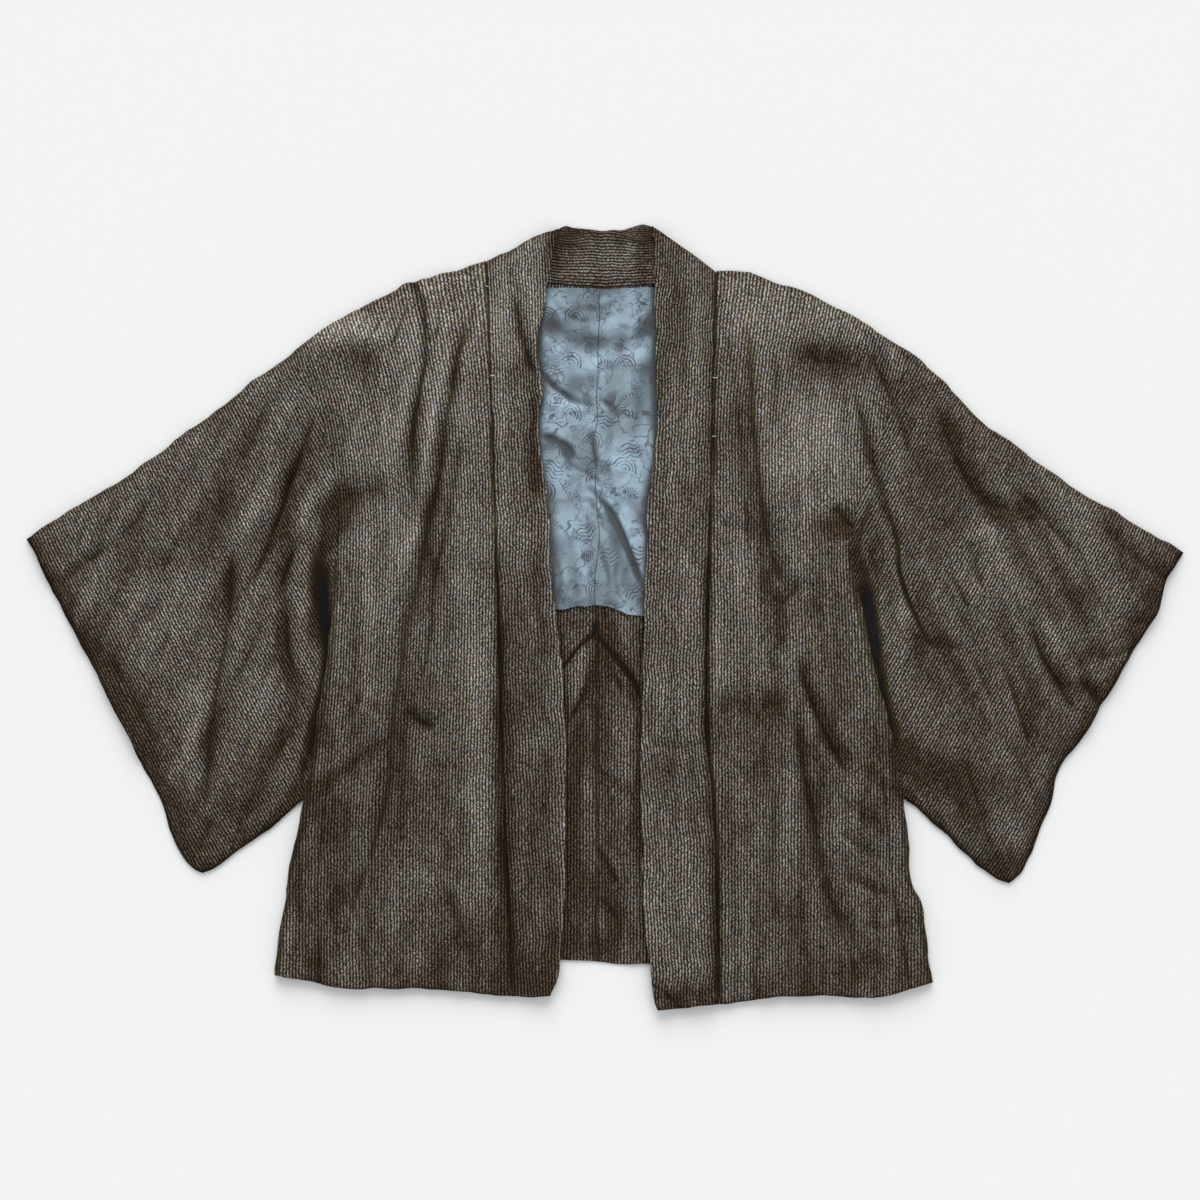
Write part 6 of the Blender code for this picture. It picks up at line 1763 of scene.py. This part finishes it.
def collar():
    left, right = collar_front("left"), collar_front("right")
    neck = np.concatenate([collar_neck("left")[:0:-1], collar_neck("right")])
    neck[0], neck[-1] = left[-1], right[-1]
    stations, uv = [], []

    def lay(rows, heights, hollow, above, along):
        for row, v in zip(rows, along):
            station = lying(row, heights(*row.T), COLLAR, tone_of(hollow, outside_shade, row), above)
            stations.append(rounded(station))
            uv.append(np.column_stack([lengths_along(row), np.full(len(row), v)]))

    def turn(side, row, v):
        past_neck = 2 * row[-1] - row[-2]
        flat = np.zeros(len(row))
        slack = FOLD_BULGE * (1 - CORNER_LOSS * ramp(np.linspace(0.0, 1.0, len(row)), CORNER_FROM, 1.0))
        directions = outward(row, half(SHOULDER, side)[1], past_neck) * slack[:, None]
        found = folded_edge(row, directions, flat, front_z(*row.T), COLLAR,
                            tone_of(body_hollow, outside_shade, row))
        for station in (found[::-1] if side == "left" else found):
            stations.append(station)
            uv.append(np.column_stack([lengths_along(row), np.full(len(row), v)]))

    def on_table(x, y):
        return np.zeros(np.shape(x))

    lay(left, front_z, body_hollow, True, left[:, 0, 1])
    turn("left", left[-1], left[-1, 0, 1])
    lay(neck, on_table, 0 * body_hollow, False, np.linspace(NECK_FROM, NECK_TO, len(neck)))
    turn("right", right[-1], NECK_TO)
    lay(right[::-1], front_z, body_hollow, True, STRIP_END - right[::-1, 0, 1])
    return shell("crepe_collar", stations, uv, crepe)


collar_piece = collar()
print("the collar's neck part is", NECK_TO - NECK_FROM, "mm long")

# %% [markdown]
# Small white stitches, left over from basting, cross the collar's seams. Each is a short
# thread that comes up through the cloth, lies on it and dives in again, so a cylinder is cut
# across in four places, and its rings are lowered and narrowed towards both ends.
# %% Basting stitches
STITCHES = (            # middle, length, and turn in degrees
    (-111.5, 243.0, 6.0, 8.0), (110.0, 241.0, 7.0, -6.0), (109.0, 182.5, 7.0, 3.0),
    (-116.5, 332.0, 4.5, -20.0),
)
THREAD, THREAD_ABOVE = 0.4, 0.3         # its radius, and how far its middle lies above the collar
THREAD_SIDES, THREAD_SHARP = 12, math.radians(50)
THREAD_DIVE, THREAD_THIN = 0.5, 0.55    # mm that its ends go down, and their share of its thickness
THREAD_CUTS = (-0.4, -0.2, 0.2, 0.4)    # shares of the length, from the middle
RING_REACH = 0.02                       # share of the length within which points count as one ring
# white cotton: dull, off-white like a used thread, so that it is the lightest thing on the crepe
cotton, cotton_nodes = new_material("white cotton thread")
cotton_surface = cotton_nodes.nodes["Principled BSDF"]
cotton_surface.inputs["Base Color"].default_value = linear("#d6d2c8")
cotton_surface.inputs["Roughness"].default_value = 0.8


def shape_thread(thread, length):
    """Cut a straight thread into rings, and bend and taper it towards its ends."""
    bpy.ops.object.mode_set(mode="EDIT")
    for share in THREAD_CUTS:
        bpy.ops.mesh.select_all(action="SELECT")
        bpy.ops.mesh.bisect(plane_co=(share * length, 0.0, 0.0), plane_no=(1.0, 0.0, 0.0))
    for share in (-0.5, *THREAD_CUTS, 0.5):
        bpy.ops.mesh.select_all(action="DESELECT")
        bpy.ops.object.mode_set(mode="OBJECT")
        for point in thread.data.vertices:
            point.select = abs(point.co.x - share * length) < RING_REACH * length
        bpy.ops.object.mode_set(mode="EDIT")
        bend = (2 * share) ** 2
        narrow = 1 - (1 - THREAD_THIN) * bend
        bpy.ops.transform.resize(value=(1.0, narrow, narrow), center_override=(share * length, 0.0, 0.0))
        bpy.ops.transform.translate(value=(0.0, 0.0, -THREAD_DIVE * MM * bend))
    bpy.ops.object.mode_set(mode="OBJECT")
    bpy.ops.object.shade_smooth_by_angle(angle=THREAD_SHARP)


for number, (x, y, length, turn) in enumerate(STITCHES):
    z = front_z(np.array([x]), np.array([y]))[0] + COLLAR + THREAD_ABOVE
    bpy.ops.object.select_all(action="DESELECT")
    bpy.ops.mesh.primitive_cylinder_add(
        vertices=THREAD_SIDES, radius=THREAD * MM, depth=length * MM, rotation=(0.0, math.pi / 2, 0.0))
    bpy.ops.object.transform_apply(location=True, rotation=True, scale=True)
    stitch = bpy.context.active_object
    shape_thread(stitch, length * MM)
    stitch.rotation_euler.z = math.radians(turn)
    stitch.location = (x - MIDDLE[0]) * MM, (y - MIDDLE[1]) * MM, z * MM
    bpy.ops.object.transform_apply(location=True, rotation=True, scale=True)
    stitch.name = f"stitch_{number + 1}"
    stitch.data.materials.append(cotton)
    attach(stitch, "root")
    print(stitch.name, "triangles", sum(len(face.vertices) - 2 for face in stitch.data.polygons))
print("stitches:", len(STITCHES))

# %% [markdown]
# ## Lining pieces
# Two lengths of silk meet at the centre seam. They lie on the back and rise over its folds.
# %% Lining pieces
LINING_COLUMNS, LINING_ROWS = 58, 190


def lining(side):
    bottom, top = (edge_curve(table, side, LINING_COLUMNS) for table in (LINING_BOTTOM, LINING_TOP))
    inner = evenly(smooth_curve(LINING_SEAM), LINING_ROWS)
    outer = evenly(np.vstack([bottom[-1], top[-1]]), LINING_ROWS)
    flat = pulled_in(patch(bottom, top, inner, outer), HALF_GAP)
    grid = flat + drift(flat)
    stations = []
    for row in grid:
        lies = SHELL + SEAM_GAP + read_map(back_height, *row.T) + read_map(lining_height, *row.T)
        stations.append(lying(row, lies, LINING, tone_of(lining_hollow, lining_shade, row), True))
    plan = flat - np.stack([flat[:, :1, 0], 0 * flat[:, :1, 0]], axis=-1)
    return shell(f"silk_lining_{side}", stations, plan, silk)


linings = {side: lining(side) for side in SIDES}
print("rows of a lining piece:", LINING_ROWS)


def settle(piece, node):
    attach(piece, "root")
    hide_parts(node)


def cloth_area(piece):
    return sum(face.area for face in piece.data.polygons) / 2


for side in SIDES:
    settle(bodies[side], f"body_{side}")
    settle(gussets[side], f"gusset_{side}")
    settle(sleeves[side], f"sleeve_{side}")
    settle(linings[side], f"lining_{side}")
settle(collar_piece, "collar")
for piece in [*bodies.values(), *gussets.values(), *sleeves.values(), *linings.values(), collar_piece]:
    print(piece.name, "cloth area", round(cloth_area(piece), 4), "m2")

# %% [markdown]
# ## Studio
# The jacket lies on a plain white floor under one broad soft light that comes from beyond
# its collar, so the shoulders are lighter than the hem, and the painted light and shade of the
# crepe add to that. The camera looks straight down.
# %% Floor, light and camera
FLOOR_SIZE, FLOOR_BELOW = 12.0, 0.4 * MM        # metres, and how far it lies under the jacket
PAPER, PAPER_ROUGH = (0.94, 0.945, 0.94, 1.0), 0.9
SKY, SKY_LIGHT = (0.98, 0.99, 1.0, 1.0), 0.655
LAMP_PLACE, LAMP_LIGHT = (0.0, 1.5, 1.9), 1.82
LAMP_BREADTH, LAMP_TILT = math.radians(46.0), math.radians(58.0)
LENS, SENSOR = 85.0, 36.0       # mm
VIEW_WIDTH, VIEW_LEVEL = 1.2, 0.004             # metres that the view is wide, and at what height
VIEW_MIDDLE = (-0.0045, 0.0165)

bpy.ops.object.select_all(action="DESELECT")
bpy.ops.mesh.primitive_plane_add(size=FLOOR_SIZE)
floor = bpy.context.active_object
floor.name = "studio_floor"
floor.location.z = -FLOOR_BELOW
# white matt paper: nothing to see in it but the soft shadow at the jacket's edges
paper, paper_nodes = new_material("white floor paper")
paper_surface = paper_nodes.nodes["Principled BSDF"]
paper_surface.inputs["Base Color"].default_value = PAPER
paper_surface.inputs["Roughness"].default_value = PAPER_ROUGH
floor.data.materials.append(paper)
floor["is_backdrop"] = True

world = bpy.data.worlds.new("studio")
world.use_nodes = True
sky = world.node_tree.nodes["Background"]
sky.inputs["Color"].default_value = SKY
sky.inputs["Strength"].default_value = SKY_LIGHT
bpy.context.scene.world = world

bpy.ops.object.light_add(type="SUN", location=LAMP_PLACE)
lamp = bpy.context.active_object
lamp.name = "soft_light"
lamp.data.energy = LAMP_LIGHT
lamp.data.angle = LAMP_BREADTH
lamp.rotation_euler = (-LAMP_TILT, 0.0, 0.0)

view_height = VIEW_WIDTH * LENS / SENSOR + VIEW_LEVEL
bpy.ops.object.camera_add(location=(*VIEW_MIDDLE, view_height), rotation=(0.0, 0.0, 0.0))
camera = bpy.context.active_object
camera.data.lens, camera.data.sensor_width = LENS, SENSOR
bpy.context.scene.camera = camera
bpy.context.scene.view_settings.view_transform = "Standard"
print("camera", round(view_height, 3), "m above the floor")

low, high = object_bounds()
print("visual box:", [round(v * 1000, 1) for v in (*low, *high)])
